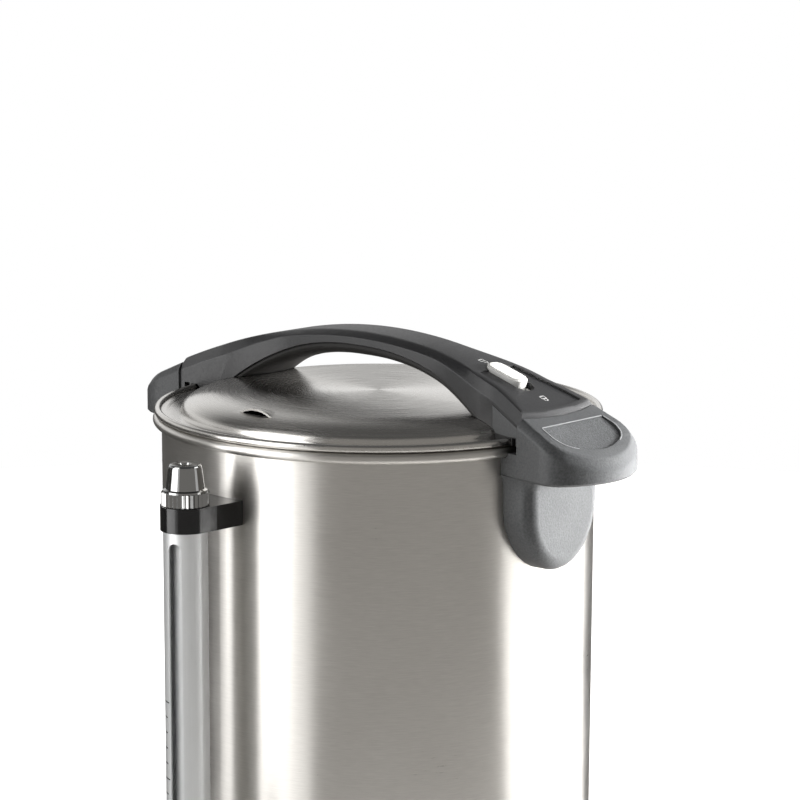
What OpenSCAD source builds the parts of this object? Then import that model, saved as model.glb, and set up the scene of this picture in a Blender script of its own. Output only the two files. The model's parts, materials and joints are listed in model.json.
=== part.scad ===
// Coffee urn: a brushed steel tank with a locking lid, two side handles, a sight gauge,
// a self-closing tap and a percolator inside.
// The origin is the centre of the resting plane, +Z is up, the gauge and the tap face -Y,
// and both handles lie along X. Lengths are millimetres.

/* [Body] */
// Outer radius of the steel body
body_r = 115; // [112:0.5:120]
// Wall of the steel body
body_wall = 1; // [0.8:0.1:1.4]
// Height of the rolled rim's underside above the table
rim_z = 390; // [370:1:430]
// Section radius of the rolled rim
rim_bead_r = 2.6; // [2.3:0.1:2.8]
// Height of the tank floor's upper face
floor_z = 92; // [90:0.5:98]
// Sheet thickness of the tank floor
floor_wall = 1.2; // [0.8:0.1:1.6]
// Inner radius of the heating well in the tank floor
well_r = 33; // [31:0.5:36]
// Depth of the heating well
well_depth = 12; // [10:0.5:14]

/* [Base] */
// Height of the plastic base above the table
base_h = 82; // [80:0.5:86]
// How far the foot of the base stands out from the body
base_flare = 6; // [5:0.5:9]
// How far the top of the base stands out from the body
base_lip = 3.5; // [3:0.1:4.5]
// Wall of the plastic base
base_wall = 2.5; // [2:0.1:3]
// Depth of the seat that holds the steel body
base_seat = 12; // [9:0.5:14]
// Thickness of the bottom plate
plate_t = 2.5; // [2:0.1:3]
// Height of the rubber feet
foot_h = 5; // [4:0.5:7]
// Radius of a rubber foot
foot_r = 10; // [8:0.5:12]
// Shank radius of the base screws
base_screw_r = 1.5; // [1.2:0.1:1.8]

/* [Heating] */
// Radius of the boiling element's plate
heater_r = 30; // [27:0.5:31]
// Thickness of the boiling element's plate
heater_t = 4; // [3:0.5:4.5]
// Tube radius of the boiling element
element_r = 3; // [2.5:0.1:3.5]
// Outer radius of the ring that keeps the coffee warm
warm_r = 80; // [74:0.5:82]
// Width of the ring that keeps the coffee warm
warm_w = 20; // [14:0.5:22]
// Radius of the thermostat
thermostat_r = 8.5; // [7:0.5:9]

/* [Switch and inlet] */
// Height of the switch and the lamp above the table
switch_z = 42; // [38:0.5:48]
// Width of the rocker
rocker_w = 11; // [9:0.5:13]
// Height of the rocker
rocker_h = 17; // [15:0.5:19]
// Tilt of the rocker to each side
rocker_tilt = 7; // [5:0.5:9]
// Radius of the indicator lens
lens_r = 4; // [3:0.5:5]
// Height of the power inlet above the table
inlet_z = 42; // [38:0.5:48]
// Width of the power inlet's cavity
inlet_w = 24; // [22:0.5:27]
// Height of the power inlet's cavity
inlet_h = 16; // [14:0.5:19]
// Depth of the power inlet's cavity
inlet_depth = 17; // [15:0.5:19]

/* [Lid] */
// Height of the lid's flat top above the rim's underside
lid_h = 16; // [15:0.25:18]
// Sheet thickness of the lid
lid_wall = 1; // [0.8:0.1:1.2]
// Width of the lid's rounded shoulder
shoulder_w = 27.5; // [25:0.5:30]
// Height of the lid's rounded shoulder
shoulder_h = 8.5; // [8:0.25:9.5]
// Section radius of the lid's rolled edge
lid_bead_r = 1.9; // [1.6:0.1:2.1]
// Depth of the lid's skirt inside the tank
skirt_h = 10; // [8:0.5:14]
// Half width of the steam vent
vent_r = 11.5; // [9:0.5:13]
// Height of the steam vent's hood
vent_h = 3; // [2:0.25:3.5]

/* [Lid handle] */
// Radius of the arc along the top of the handle and the side handles
arch_r = 298; // [285:1:320]
// Height of the top of the handle above the rim's underside
arch_top = 48.5; // [46:0.5:52]
// Half width of the handle in the middle
arch_half_w = 17; // [16:0.5:19]
// Half width of the handle where its ends begin to flare
knee_half_w = 22.8; // [21.5:0.1:24]
// Half width of the handle at its ends
end_half_w = 30.4; // [29.5:0.1:31]
// Thickness of the handle's cover in the middle
cover_mid_t = 7; // [6.5:0.25:8]
// Thickness of the grip in the middle
grip_t = 6.5; // [5.5:0.25:7.5]
// How far the handle's ends stand out from the body
end_out = 10.7; // [10.2:0.1:12]
// Depth of the sunk panels on the handles
panel_depth = 0.8; // [0.5:0.1:1.2]
// Step from the handle's ends down to the side handles
end_step = 1.5; // [1:0.1:2]

/* [Lid lock] */
// Length of the slider's button
button_l = 24; // [20:0.5:25]
// Width of the slider's button
button_w = 12; // [10:0.5:13]
// Height of the button above the handle
button_h = 1.8; // [1:0.1:2.5]
// Travel of the slider
lock_travel = 5; // [4:0.25:5.5]
// Width of the latch bolt
bolt_w = 9; // [7:0.5:10]
// Thickness of the latch bolt
bolt_t = 4; // [3:0.25:4.5]

/* [Side handles] */
// How far the tip of the handle stands out from the body
ear_reach = 46; // [44:0.5:50]
// Depth of the handle's underside below the rim
ear_drop = 10.6; // [9.6:0.2:12]
// Radius of the handle's corners seen from above
ear_corner_r = 15.5; // [14:0.5:17]
// Half distance between the centres of the two corners
ear_corner_y = 18.25; // [17.5:0.25:20]
// Height of the bevel round the top
bevel_h = 4.4; // [4:0.2:5.6]
// Width of the bevel round the top
bevel_w = 4; // [3:0.2:5]
// Half width of the tab below the handle
tab_half_w = 28.5; // [26.5:0.5:29]
// Depth of the tab's lower end below the rim
tab_drop = 61.4; // [56:0.2:66]
// How far the tab stands out from the body
tab_out = 13.5; // [12:0.5:15]
// Radius of the tab's rounded edges
tab_round = 7.5; // [5:0.5:9]
// Radius of the hollow curve between the tab and the handle
tab_fillet = 8; // [5:0.5:9]
// Shank radius of the screws through the tank wall
wall_screw_r = 2; // [1.5:0.1:2.5]

/* [Sight gauge] */
// Distance of the gauge's axis from the body
gauge_off = 25.2; // [23:0.1:28]
// Outer radius of the metal guard tube
guard_r = 11; // [10:0.25:12]
// Wall of the guard tube
guard_wall = 1.2; // [1:0.1:1.5]
// Width of the window in the guard tube
window_w = 7.5; // [6:0.25:9]
// Turn of the window towards the right handle
window_turn = 16; // [0:1:30]
// Outer radius of the glass tube
glass_r = 6.2; // [5.5:0.1:7]
// Wall of the glass tube
glass_wall = 1.4; // [1:0.1:1.8]
// Height of the collar
collar_h = 12.5; // [10:0.5:15]
// Depth of the collar's top below the rim
collar_drop = 24; // [23:0.5:30]
// Half width of the collar at the body
collar_half_w = 14; // [13.5:0.25:17]
// Outer radius of the cap's knurled ring
cap_r = 12; // [11.5:0.25:13]
// Height of the cap's knurled ring
cap_ring_h = 7.5; // [6:0.5:9]
// Height of the cap above its ring
cap_cone_h = 12.8; // [11:0.2:15]
// Radius of the cap's upper end
cap_tip_r = 8.2; // [7.5:0.1:9]
// Number of ridges round the cap
cap_ridges = 30; // [24:1:36]

/* [Tap] */
// Height of the tap's axis above the table
tap_z = 116; // [114:0.5:124]
// Outer radius of the shank through the tank wall
shank_r = 10; // [9:0.25:11]
// Radius of the passage for the coffee
passage_r = 4; // [3.5:0.1:4.5]
// Distance of the valve's axis from the gauge's axis
valve_off = 40; // [38:0.5:46]
// Outer radius of the valve chamber
chamber_r = 13.5; // [13:0.25:15]
// Length of the spout below the tap's axis
spout_l = 38; // [32:0.5:42]
// Outer radius of the spout's mouth
spout_r = 7.5; // [7:0.1:9]
// Radius of the valve stem
stem_r = 2.5; // [2:0.1:3]
// Length of the lever's paddle
lever_l = 46; // [36:0.5:52]
// Width of the lever's paddle
lever_w = 24; // [18:0.5:28]
// Distance of the lever's pivot from the stem
pivot_off = 11; // [10.5:0.25:13]
// Radius of the lever's pin
pin_r = 1.5; // [1.2:0.1:1.8]
// Wire radius of the valve spring
spring_wire_r = 0.5; // [0.4:0.05:0.6]
// Number of curls of the valve spring
spring_curls = 6; // [4:1:7]

/* [Percolator] */
// Outer radius of the filter basket
basket_r = 82; // [72:0.5:90]
// Height of the filter basket
basket_h = 62; // [50:0.5:70]
// Depth of the basket's top below the rim
basket_drop = 40; // [34:0.5:50]
// Outer radius of the pump tube
tube_r = 5; // [4:0.25:6]
// Depth of the pump tube's top below the rim
tube_drop = 16; // [14:0.5:22]
// Sheet thickness of the percolator's pieces
sheet_t = 0.9; // [0.7:0.1:1.2]

/* [Hidden] */
$fn = 72;

// Clearances, named once and used wherever two pieces meet
seam_gap = 0.1;
move_gap = 0.3;
slide_gap = 0.4;
run_gap = 0.06;
cut = 1;

// Colours
steel = "#c9c8c4";
black = "#2b2b2c";
charcoal = "#4b4b4d";
handle_grey = "#6b6b6d";
chrome = "#dcdcdc";
rubber = "#222222";
silicone = "#d9d4c8";
brass = "#b59a55";

// Body and base heights
shell_z = base_h - base_seat;
bead_r = body_r + rim_bead_r - 0.6;
bead_z = rim_z + rim_bead_r - 0.5;
bead_top = bead_z + rim_bead_r;
bead_out = bead_r + rim_bead_r;
tank_r = body_r - body_wall;
well_z = floor_z - well_depth;
floor_lip_h = floor_z - shell_z - 8;
plate_z = foot_h;
plate_top = plate_z + plate_t;
base_z = foot_h - 1;
boss_r = 5;
foot_pcd_r = body_r - 17;
foot_stem_r = 3;
ledge_w = 7;
ledge_t = 3;
base_screw_pcd_r = body_r - 8;
base_screw_grip = 12;
fitting_face = body_r + 5;

// Heating, switch and inlet places
floor_under = floor_z - floor_wall;
well_under = well_z - floor_wall;
warm_t = 2.5;
clamp_t = 2;
clamp_w = 14;
clamp_top = well_under - heater_t - 2 * element_r + 1;
stud_r = 2;
stud_x = well_r + 12;
stud_nut_t = 3.2;
lamp_turn = 14;
rocker_y = fitting_face - 3.4;
switch_back = body_r - 14;
pin_pitch = 7;
pin_root = fitting_face - inlet_depth - 4;
wire_r = 1.3;
wire_ring_r = body_r - 23;
wire_switch_x = 4;

// Lid places, measured from the centre outwards
lid_top = rim_z + lid_h;
lid_plate_r = body_r - 38;
dome_r = lid_plate_r + shoulder_w;
dome_z = lid_top - shoulder_h;
channel_z = rim_z + 5.6;
channel_out = body_r - 3.6;
lid_bead_c = bead_r;
lid_bead_z = bead_top + move_gap + lid_bead_r;
lid_bead_top = lid_bead_z + lid_bead_r;
lid_bead_out = lid_bead_c + lid_bead_r;
skirt_r = tank_r - 1.4;
lid_screw_r = 1.5;
lid_screw_y = 13;
lid_screw_x = body_r - 7.2;
vent_y = -(body_r - 23.5);

// Handle places along X
end_r = body_r + end_out;
end_gap = 0.4;
ear_in_r = end_r + end_gap;
end_lean = 60;
knee_x = body_r - 17;
flare_x = body_r - 65;
end_x = end_r - 2;
loft_x = end_r + 3;
seam_reach = body_r - 29;
seam_rise = arch_top - cover_mid_t - lid_h;
seam_power = 2.35;
grip_reach = seam_reach - 7.5;
lip_z = rim_z + 5.2;
notch_in = bead_out + 0.4;
notch_out = notch_in + 3.2;
notch_z = rim_z + 9.5;
grip_screw_x = 42;
stations = 52;

// Lock places on the sloping end of the handle
slider_x = body_r - 26;
slope = asin(slider_x / arch_r);
wall_over = 4.5;
flange_t = 2.8;
flange_l = button_l + 4;
flange_w = button_w + 3;
bolt_top = -(wall_over + flange_t + slide_gap / 2);
bolt_back = -8;
bolt_mid = bolt_top - bolt_t / 2;
bolt_tip = (end_r - slider_x - bolt_mid * sin(slope) - 1.2) / cos(slope);

// Side handle places
ear_tip = body_r + ear_reach;
ear_corner_x = ear_tip - 21.5;
ear_flare = 8;
ear_root = body_r - 9;
ledge_z = rim_z + 2;
pad_x = body_r + 17;
pad_corner_x = ear_corner_x - 0.5;
pad_corner_y = ear_corner_y - 6;
pad_corner_r = ear_corner_r - 3.5;
pad_tip = ear_tip - 6.5;
tab_bow = 34;
tab_x = body_r + tab_out;
handle_screw_z = [rim_z - 22, rim_z - 42];
wall_screw_l = 11;
washer_t = 1;
washer_r = 5;
screw_seat = tank_r - washer_t - 0.3;
screw_end = screw_seat + wall_screw_l;

// Gauge and tap places along -Y
gauge_y = -(body_r + gauge_off);
collar_top = rim_z - collar_drop;
collar_z = collar_top - collar_h;
cap_z = collar_top + move_gap;
cap_cone_r = cap_r - 2.3;
cap_bore_h = cap_ring_h + cap_cone_h - 6;
glass_top = cap_z + cap_bore_h - 1.5;
guard_in = guard_r - guard_wall;
window_top = collar_z - 5.5;
post_r = guard_r + 1.5;
post_top = tap_z + 18;
glass_z = tap_z + 7;
window_z = post_top + 8;
seal_h = 3;
spigot_r = shank_r - 1.5;
spigot_end = gauge_y - post_r - 16;
valve_y = gauge_y - valve_off;
chamber_wall = 4;
chamber_in = chamber_r - chamber_wall;
seat_z = tap_z - passage_r - 1;
chamber_top = tap_z + chamber_r + 8.5;
spout_bore_r = spout_r - 2;
cup_r = chamber_in - 1.5;
cup_z = seat_z + 0.2;
cup_h = 6;
bonnet_r = chamber_r + 2.5;
bonnet_top = chamber_top + 4;
pivot_y = valve_y - pivot_off;
pivot_z = bonnet_top + 7.5;
hub_r = 4.5;
hub_half_w = 4.6;
cheek_in = hub_half_w + slide_gap;
cheek_t = 3;
ball_r = 3.4;
ball_half_w = 3;
head_r = 6;
head_z = pivot_z - 6.5;
head_top = pivot_z + 7;
spring_r = stem_r + 2.2;
spring_z = cup_z + cup_h;
spring_l = chamber_top - spring_z;
washer_seat = tank_r - 3;
shank_inside = 19;

// Percolator places
basket_top = rim_z - basket_drop;
basket_z = basket_top - basket_h;
tube_top = rim_z - tube_drop;
foot_bell_r = well_r - 4;
foot_bell_z = well_z + move_gap;
foot_bell_h = 24;
sleeve_r = tube_r + 1.5;
tube_z = foot_bell_z + foot_bell_h - 9;
basket_hole_r = 1.6;

// Height of the arc along the top of the handles at a distance from the centre
function top_z(x) = rim_z + arch_top - arch_r + sqrt(arch_r * arch_r - x * x);

// Height of the side handles' tops, a step below that arc
function ear_z(x) = top_z(x) - end_step;

// Arch that falls to the lid's top at a given reach
function arch_z(x, rise, reach) = lid_top + rise * (1 - pow(abs(x) / reach, seam_power));
function seam_z(x) = arch_z(x, seam_rise, seam_reach);
function grip_z(x) = arch_z(x, seam_rise - grip_t, grip_reach);

// Smooth step from 0 to 1 between two values
function ease(x, a, b) = let (t = min(1, max(0, (x - a) / (b - a)))) t * t * (3 - 2 * t);

// Half width of the lid handle: slim in the middle, bent outwards at the knee
function side_w(x) =
    let (bend = (end_half_w - knee_half_w) * max(0, abs(x) - knee_x) / (end_x - knee_x))
    arch_half_w + (knee_half_w - arch_half_w) * ease(abs(x), flare_x, knee_x) + bend;

// Points on an arc, seen in its own plane
function arc(c, r, a0, a1, n) =
    [for (i = [0:n]) let (a = a0 + (a1 - a0) * i / n) c + r * [cos(a), sin(a)]];

// Outline of a round-ended lug seen from above, drawn in by a distance
function lug(root, cx, cy, r, tip, flare, d) =
    let (
        reach = tip - r,
        mid = (cx * cx + cy * cy - reach * reach) / (2 * (cx - reach)),
        turn = atan2(cy, cx - mid),
        start = [cx - (r - d) * sin(flare), -cy - (r - d) * cos(flare)],
        foot = [root, start[1] + (start[0] - root) * tan(flare)],
        side = arc([cx, -cy], r - d, -90 - flare, -turn, 8),
        nose = arc([mid, 0], tip - mid - d, -turn, 0, 6),
        half = concat([foot], side, [for (i = [1:5]) nose[i]])
    )
    concat(half, [nose[6]], [for (i = [len(half) - 1:-1:0]) [half[i][0], -half[i][1]]]);

// Outline of the tab on the body, drawn in by a distance
function tab_outline(d) =
    let (
        w = tab_half_w - d,
        bow_z = rim_z - tab_drop + tab_bow,
        up = [-w, rim_z - ear_drop + 3]
    )
    concat([up], [for (i = [0:18]) let (a = 180 + 10 * i) [w * cos(a), bow_z + (tab_bow - d) * sin(a)]],
        [[-up[0], up[1]]]);

// Outline of the tab seen from above, grown by a distance and less so at its sides
function tab_section(d) =
    let (
        c = [tab_x - tab_round, tab_half_w - tab_round],
        squeeze = (tab_half_w + 0.3 * d) / (tab_half_w + d),
        side = [for (p = arc([c[0], -c[1]], tab_round + d, -90, 0, 6)) [p[0], squeeze * p[1]]],
        half = concat([[ear_root, side[0][1]]], side)
    )
    concat(half, [for (i = [len(half) - 1:-1:0]) [half[i][0], -half[i][1]]]);

// Closed skin over rings that are each symmetric from their first point to their last
module skin(rings) {
    n = len(rings[0]);
    m = len(rings);
    half = floor(n / 2);
    walls = [for (i = [0:m - 2]) for (j = [0:n - 1]) let (a = i * n + j, b = i * n + (j + 1) % n)
        each [[a, a + n, b + n], [a, b + n, b]]];
    function strip(k) = [for (i = [0:half - 1]) let (p = k + i, q = k + n - 1 - i)
        each (q - p > 2 ? [[p, p + 1, q - 1], [p, q - 1, q]] : [[p, p + 1, q]])];
    first = [for (t = strip(0)) if (t[1] != t[2]) t];
    last = [for (t = strip((m - 1) * n)) if (t[1] != t[2]) [t[2], t[1], t[0]]];
    polyhedron([for (ring = rings) each ring], concat(walls, first, last), convexity = 6);
}

// Ring of points across the lid handle's cover
function cover_ring(x) =
    let (
        w = side_w(x),
        top = top_z(x),
        low = max(seam_z(x), lip_z),
        lean = ease(abs(x), flare_x, knee_x),
        drop = 2.7 + 3.6 * lean,
        inset = 5.6 - 1.6 * lean,
        half = [[w - 0.6, low], [w, low + 0.6], [w, top - drop - 0.6], [w - 0.5, top - drop + 0.3],
            [w - inset + 0.9, top - 0.5], [w - inset - 0.8, top]]
    )
    [for (p = half) [x, p[0], p[1]], for (i = [len(half) - 1:-1:0]) [x, -half[i][0], half[i][1]]];

// Ring of points across the rounded grip
function grip_ring(x) =
    let (
        w = side_w(x) - 0.7,
        top = seam_z(x) - seam_gap,
        belly = max(2, top - 1.5 - grip_z(x)),
        round = [for (a = [78:-13:0]) [w * cos(a), top - 1.5 - belly * sin(a)]],
        half = concat(round, [[w - 0.5, top]])
    )
    [for (p = half) [x, p[0], p[1]], for (i = [len(half) - 1:-1:0]) [x, -half[i][0], half[i][1]]];

// Places children on the slope of the handle's top at a distance from the centre
module on_slope(x) {
    translate([x, 0, top_z(x)]) rotate([0, asin(x / arch_r), 0]) children();
}

// Straight bar with round ends along X, from one end to the other, standing on z = 0
module stadium(x0, x1, w, h) {
    linear_extrude(h) {
        translate([x0 + w / 2, -w / 2]) square([x1 - x0 - w, w]);
        translate([x0 + w / 2, 0]) circle(d = w);
        translate([x1 - w / 2, 0]) circle(d = w);
    }
}

// Box centred on X and Y, standing on z = 0
module block(x, y, z) {
    translate([-x / 2, -y / 2, 0]) cube([x, y, z]);
}

// Cylinder along -Y from one place to another
module along_y(r, y0, y1, z) {
    translate([0, y0, z]) rotate([90, 0, 0]) cylinder(r = r, h = y0 - y1);
}

// Solid of revolution of the base's outer skin, thicker by a distance
module base_solid(more) {
    round_r = 3;
    rotate_extrude() polygon(concat([[0, base_z], [body_r + base_flare + more, base_z],
        [body_r + base_lip + more, base_h - round_r]],
        arc([body_r + base_lip + more - round_r, base_h - round_r], round_r, 15, 90, 5), [[0, base_h]]));
}

// Places where the wall screws stand: two at each side handle and one at the collar
module wall_screw_places() {
    for (turn = [0, 180]) for (z = handle_screw_z) rotate([0, 0, turn]) translate([0, 0, z]) children();
    rotate([0, 0, -90]) translate([0, 0, collar_z + collar_h / 2]) children();
}

module body_shell() {
    hole_r = wall_screw_r + slide_gap;
    color(steel) difference() {
        union() {
            translate([0, 0, shell_z]) cylinder(r = body_r, h = bead_z - shell_z);
            translate([0, 0, bead_z]) rotate_extrude() translate([bead_r, 0]) circle(r = rim_bead_r);
        }
        translate([0, 0, shell_z - cut]) cylinder(r = tank_r, h = rim_z);
        wall_screw_places() translate([tank_r - 3, 0, 0]) rotate([0, 90, 0]) cylinder(r = hole_r, h = 8);
        along_y(shank_r + slide_gap, -tank_r + 10, -body_r - 10, tap_z);
    }
}

module tank_floor() {
    out = tank_r - seam_gap;
    low = floor_z - floor_lip_h;
    color(steel) rotate_extrude() polygon([[0, well_z], [well_r, well_z], [well_r, floor_z - 2],
        [well_r + 2, floor_z], [out - 2, floor_z], [out, floor_z - 2], [out, low], [out - floor_wall, low],
        [out - floor_wall, floor_under], [well_r + floor_wall, floor_under],
        [well_r + floor_wall, well_under], [0, well_under]]);
}

// Opening in the base for a fitting with a rectangular body
module base_window(turn, z, w, h) {
    rotate([0, 0, turn]) translate([0, -body_r, z - h / 2]) block(w, 60, h);
}

module base_housing() {
    foot_in = body_r + base_flare - base_wall;
    top_in = body_r + base_lip - base_wall;
    color(black) difference() {
        union() {
            difference() {
                base_solid(0);
                rotate_extrude() polygon([[0, base_z - cut], [foot_in, base_z - cut],
                    [top_in, shell_z - ledge_t], [0, shell_z - ledge_t]]);
            }
            for (i = [0:3]) rotate([0, 0, 45 + 90 * i]) translate([base_screw_pcd_r, 0, plate_top])
                cylinder(r = boss_r, h = shell_z - ledge_t - plate_top + cut);
        }
        translate([0, 0, shell_z]) cylinder(r = body_r + seam_gap, h = base_h);
        translate([0, 0, base_z]) cylinder(r = body_r - ledge_w - boss_r - 1, h = base_h);
        rotate_extrude() polygon([[0, shell_z - ledge_t - cut], [body_r - ledge_w, shell_z - ledge_t - cut],
            [body_r - ledge_w, base_h + cut], [0, base_h + cut]]);
        for (i = [0:3]) rotate([0, 0, 45 + 90 * i]) translate([base_screw_pcd_r, 0, plate_top - cut])
            cylinder(r = base_screw_r + run_gap, h = base_screw_grip + 3 + cut);
        base_window(0, switch_z, rocker_w + 6, rocker_h + 6);
        base_window(180, inlet_z, inlet_w + 4, inlet_h + 4);
        rotate([0, 0, lamp_turn]) along_y(lens_r + seam_gap, -body_r + 20, -body_r - 20, switch_z);
    }
}

module base_plate() {
    out = body_r + base_flare - base_wall - 1;
    slots = 5;
    color(black) difference() {
        translate([0, 0, plate_z]) cylinder(r = out, h = plate_t);
        for (i = [0:3]) rotate([0, 0, 45 + 90 * i]) translate([base_screw_pcd_r, 0, plate_z - cut])
            cylinder(r = base_screw_r + slide_gap, h = plate_t + 2 * cut);
        for (i = [0:3]) rotate([0, 0, 90 * i]) translate([foot_pcd_r, 0, plate_z - cut])
            cylinder(r = foot_stem_r + seam_gap, h = plate_t + 2 * cut);
        for (i = [0:slots - 1]) translate([0, 12 * (i - (slots - 1) / 2), plate_z - cut])
            stadium(-30, 30, 5, plate_t + 2 * cut);
    }
}

module rubber_feet() {
    color(rubber) for (i = [0:3]) rotate([0, 0, 90 * i]) translate([foot_pcd_r, 0, 0])
        rotate_extrude() polygon([[0, 0], [foot_r - 1.5, 0], [foot_r - 1, 0.5], [foot_r, foot_h],
            [foot_stem_r, foot_h], [foot_stem_r, plate_top + 2], [0, plate_top + 2]]);
}

// Pan-head screw pointing up, its head under z = 0
module screw(r, l, head_r, head_t) {
    cylinder(r = r, h = l);
    translate([0, 0, -head_t]) cylinder(r = head_r, h = head_t);
}

module base_screws() {
    color(steel) for (i = [0:3]) rotate([0, 0, 45 + 90 * i]) translate([base_screw_pcd_r, 0, plate_z])
        screw(base_screw_r, plate_t + base_screw_grip, base_screw_r * 2, 2);
}

module boil_heater() {
    ring_r = heater_r - 8;
    color(steel) union() {
        translate([0, 0, well_under - heater_t]) cylinder(r = heater_r, h = heater_t);
        translate([0, 0, well_under - heater_t - element_r + 1]) rotate_extrude() translate([ring_r, 0])
            circle(r = element_r);
    }
}

module warm_heater() {
    color(steel) translate([0, 0, floor_under - warm_t]) difference() {
        cylinder(r = warm_r, h = warm_t);
        translate([0, 0, -cut]) cylinder(r = warm_r - warm_w, h = warm_t + 2 * cut);
    }
}

module heater_clamp() {
    color(steel) translate([0, 0, clamp_top - clamp_t]) difference() {
        stadium(-stud_x - clamp_w / 2, stud_x + clamp_w / 2, clamp_w, clamp_t);
        for (s = [-1, 1]) translate([s * stud_x, 0, -cut])
            cylinder(r = stud_r + slide_gap, h = clamp_t + 2 * cut);
    }
}

module clamp_studs() {
    foot = clamp_top - clamp_t - stud_nut_t - 1.8;
    color(steel) for (s = [-1, 1]) translate([s * stud_x, 0, foot])
        cylinder(r = stud_r, h = floor_under - foot);
}

module clamp_nuts() {
    low = clamp_top - clamp_t - stud_nut_t;
    color(steel) for (s = [-1, 1]) translate([s * stud_x, 0, low]) difference() {
        cylinder(r = 2 * stud_r, h = stud_nut_t, $fn = 6);
        translate([0, 0, -cut]) cylinder(r = stud_r + run_gap, h = stud_nut_t + 2 * cut);
    }
}

module thermostat() {
    body_h = 9;
    blade_l = 7;
    color(black) translate([-(warm_r + tank_r) / 2, 0, floor_under - body_h]) union() {
        cylinder(r = thermostat_r, h = body_h);
        for (s = [-1, 1]) translate([-0.4, s * 4 - 3, -blade_l]) cube([0.8, 6, blade_l + cut]);
    }
}

module thermal_fuse() {
    fuse_r = 2.2;
    fuse_l = 14;
    fuse_z = floor_under - warm_t - fuse_r;
    color(brass) translate([-fuse_l / 2, warm_r - warm_w / 2, fuse_z]) rotate([0, 90, 0])
        cylinder(r = fuse_r, h = fuse_l);
}

// Fitting that passes through the base's wall, with a flange that follows the wall
module base_fitting(turn, z, w, h, back) {
    flange = 2.5;
    proud = 1.2;
    rotate([0, 0, turn]) union() {
        intersection() {
            translate([0, -body_r - 10, z - h / 2]) block(w, 2 * (body_r + 10 - back), h);
            base_solid(proud);
        }
        difference() {
            intersection() {
                translate([0, -body_r, z - h / 2 - flange]) block(w + 2 * flange, 60, h + 2 * flange);
                base_solid(proud);
            }
            base_solid(seam_gap);
        }
    }
}

module power_inlet() {
    wall = 2;
    back = pin_root;
    slot_w = 2.2;
    color(black) difference() {
        base_fitting(180, inlet_z, inlet_w + 2 * (wall - seam_gap), inlet_h + 2 * (wall - seam_gap), back);
        translate([0, fitting_face + 10, inlet_z - inlet_h / 2])
            block(inlet_w, 2 * (10 + inlet_depth), inlet_h);
        for (i = [-1:1]) translate([i * pin_pitch, fitting_face - inlet_depth, inlet_z - slot_w])
            block(slot_w, 20, 2 * slot_w);
    }
}

module inlet_pins() {
    pin_w = 2;
    color(brass) for (i = [-1:1]) translate([i * pin_pitch - pin_w / 2, pin_root, inlet_z - pin_w])
        cube([pin_w, inlet_depth, 2 * pin_w]);
}

module switch_housing() {
    wall = 3;
    color(black) difference() {
        base_fitting(0, switch_z, rocker_w + 2 * (wall - seam_gap), rocker_h + 2 * (wall - seam_gap),
            switch_back);
        translate([0, -rocker_y - 8, switch_z - rocker_h / 2 - 0.5])
            block(rocker_w + 2 * slide_gap, 24, rocker_h + 1);
        translate([-rocker_w / 2 - 2, -rocker_y, switch_z]) rotate([0, 90, 0])
            cylinder(r = 1 + run_gap, h = rocker_w + 4);
    }
}

module switch_rocker() {
    half = rocker_h / 2 - 0.2;
    color(black) translate([0, -rocker_y, switch_z]) union() {
        rotate([-rocker_tilt, 0, 0]) translate([-rocker_w / 2, 0, 0]) rotate([90, 0, 90])
            linear_extrude(rocker_w)
                polygon([[2, -half + 0.6], [-3, -half], [-2.2, 0], [-3, half], [2, half - 0.6]]);
        translate([-rocker_w / 2 - 1.6, 0, 0]) rotate([0, 90, 0]) cylinder(r = 1, h = rocker_w + 3.2);
    }
}

// Two wires round the inside of the base, with sleeves at the inlet's pins and at the switch
module supply_wires() {
    sleeve_r = wire_r + 0.5;
    inlet_turn = acos(pin_pitch / wire_ring_r);
    switch_turn = -acos(wire_switch_x / wire_ring_r);
    sleeve_in = wire_ring_r - 2 * sleeve_r;
    span = [for (a = [switch_turn, 0, inlet_turn]) 3 * wire_ring_r * [cos(a), sin(a)]];
    color("#7a2f28") for (s = [0, 1]) mirror([s, 0, 0]) translate([0, 0, inlet_z]) union() {
        intersection() {
            rotate_extrude() translate([wire_ring_r, 0]) circle(r = wire_r);
            translate([0, 0, -2 * wire_r]) linear_extrude(4 * wire_r) polygon(concat([[0, 0]], span));
        }
        translate([pin_pitch, sleeve_in, 0]) rotate([-90, 0, 0])
            cylinder(r = sleeve_r, h = pin_root - sleeve_in);
        translate([wire_switch_x, -sleeve_in, 0]) rotate([90, 0, 0])
            cylinder(r = sleeve_r, h = switch_back - sleeve_in);
    }
}

module indicator_lens() {
    seat = fitting_face;
    rim_r = lens_r + 1.3;
    color("#c8452c") rotate([0, 0, lamp_turn]) translate([0, -seat, switch_z]) rotate([90, 0, 0])
        rotate_extrude() polygon([[0, -12], [lens_r, -12], [lens_r, 0.25], [rim_r, 0.25], [rim_r, 0.9],
            [lens_r, 1.5], [lens_r * 0.7, 2.3], [0, 2.9]]);
}

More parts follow.
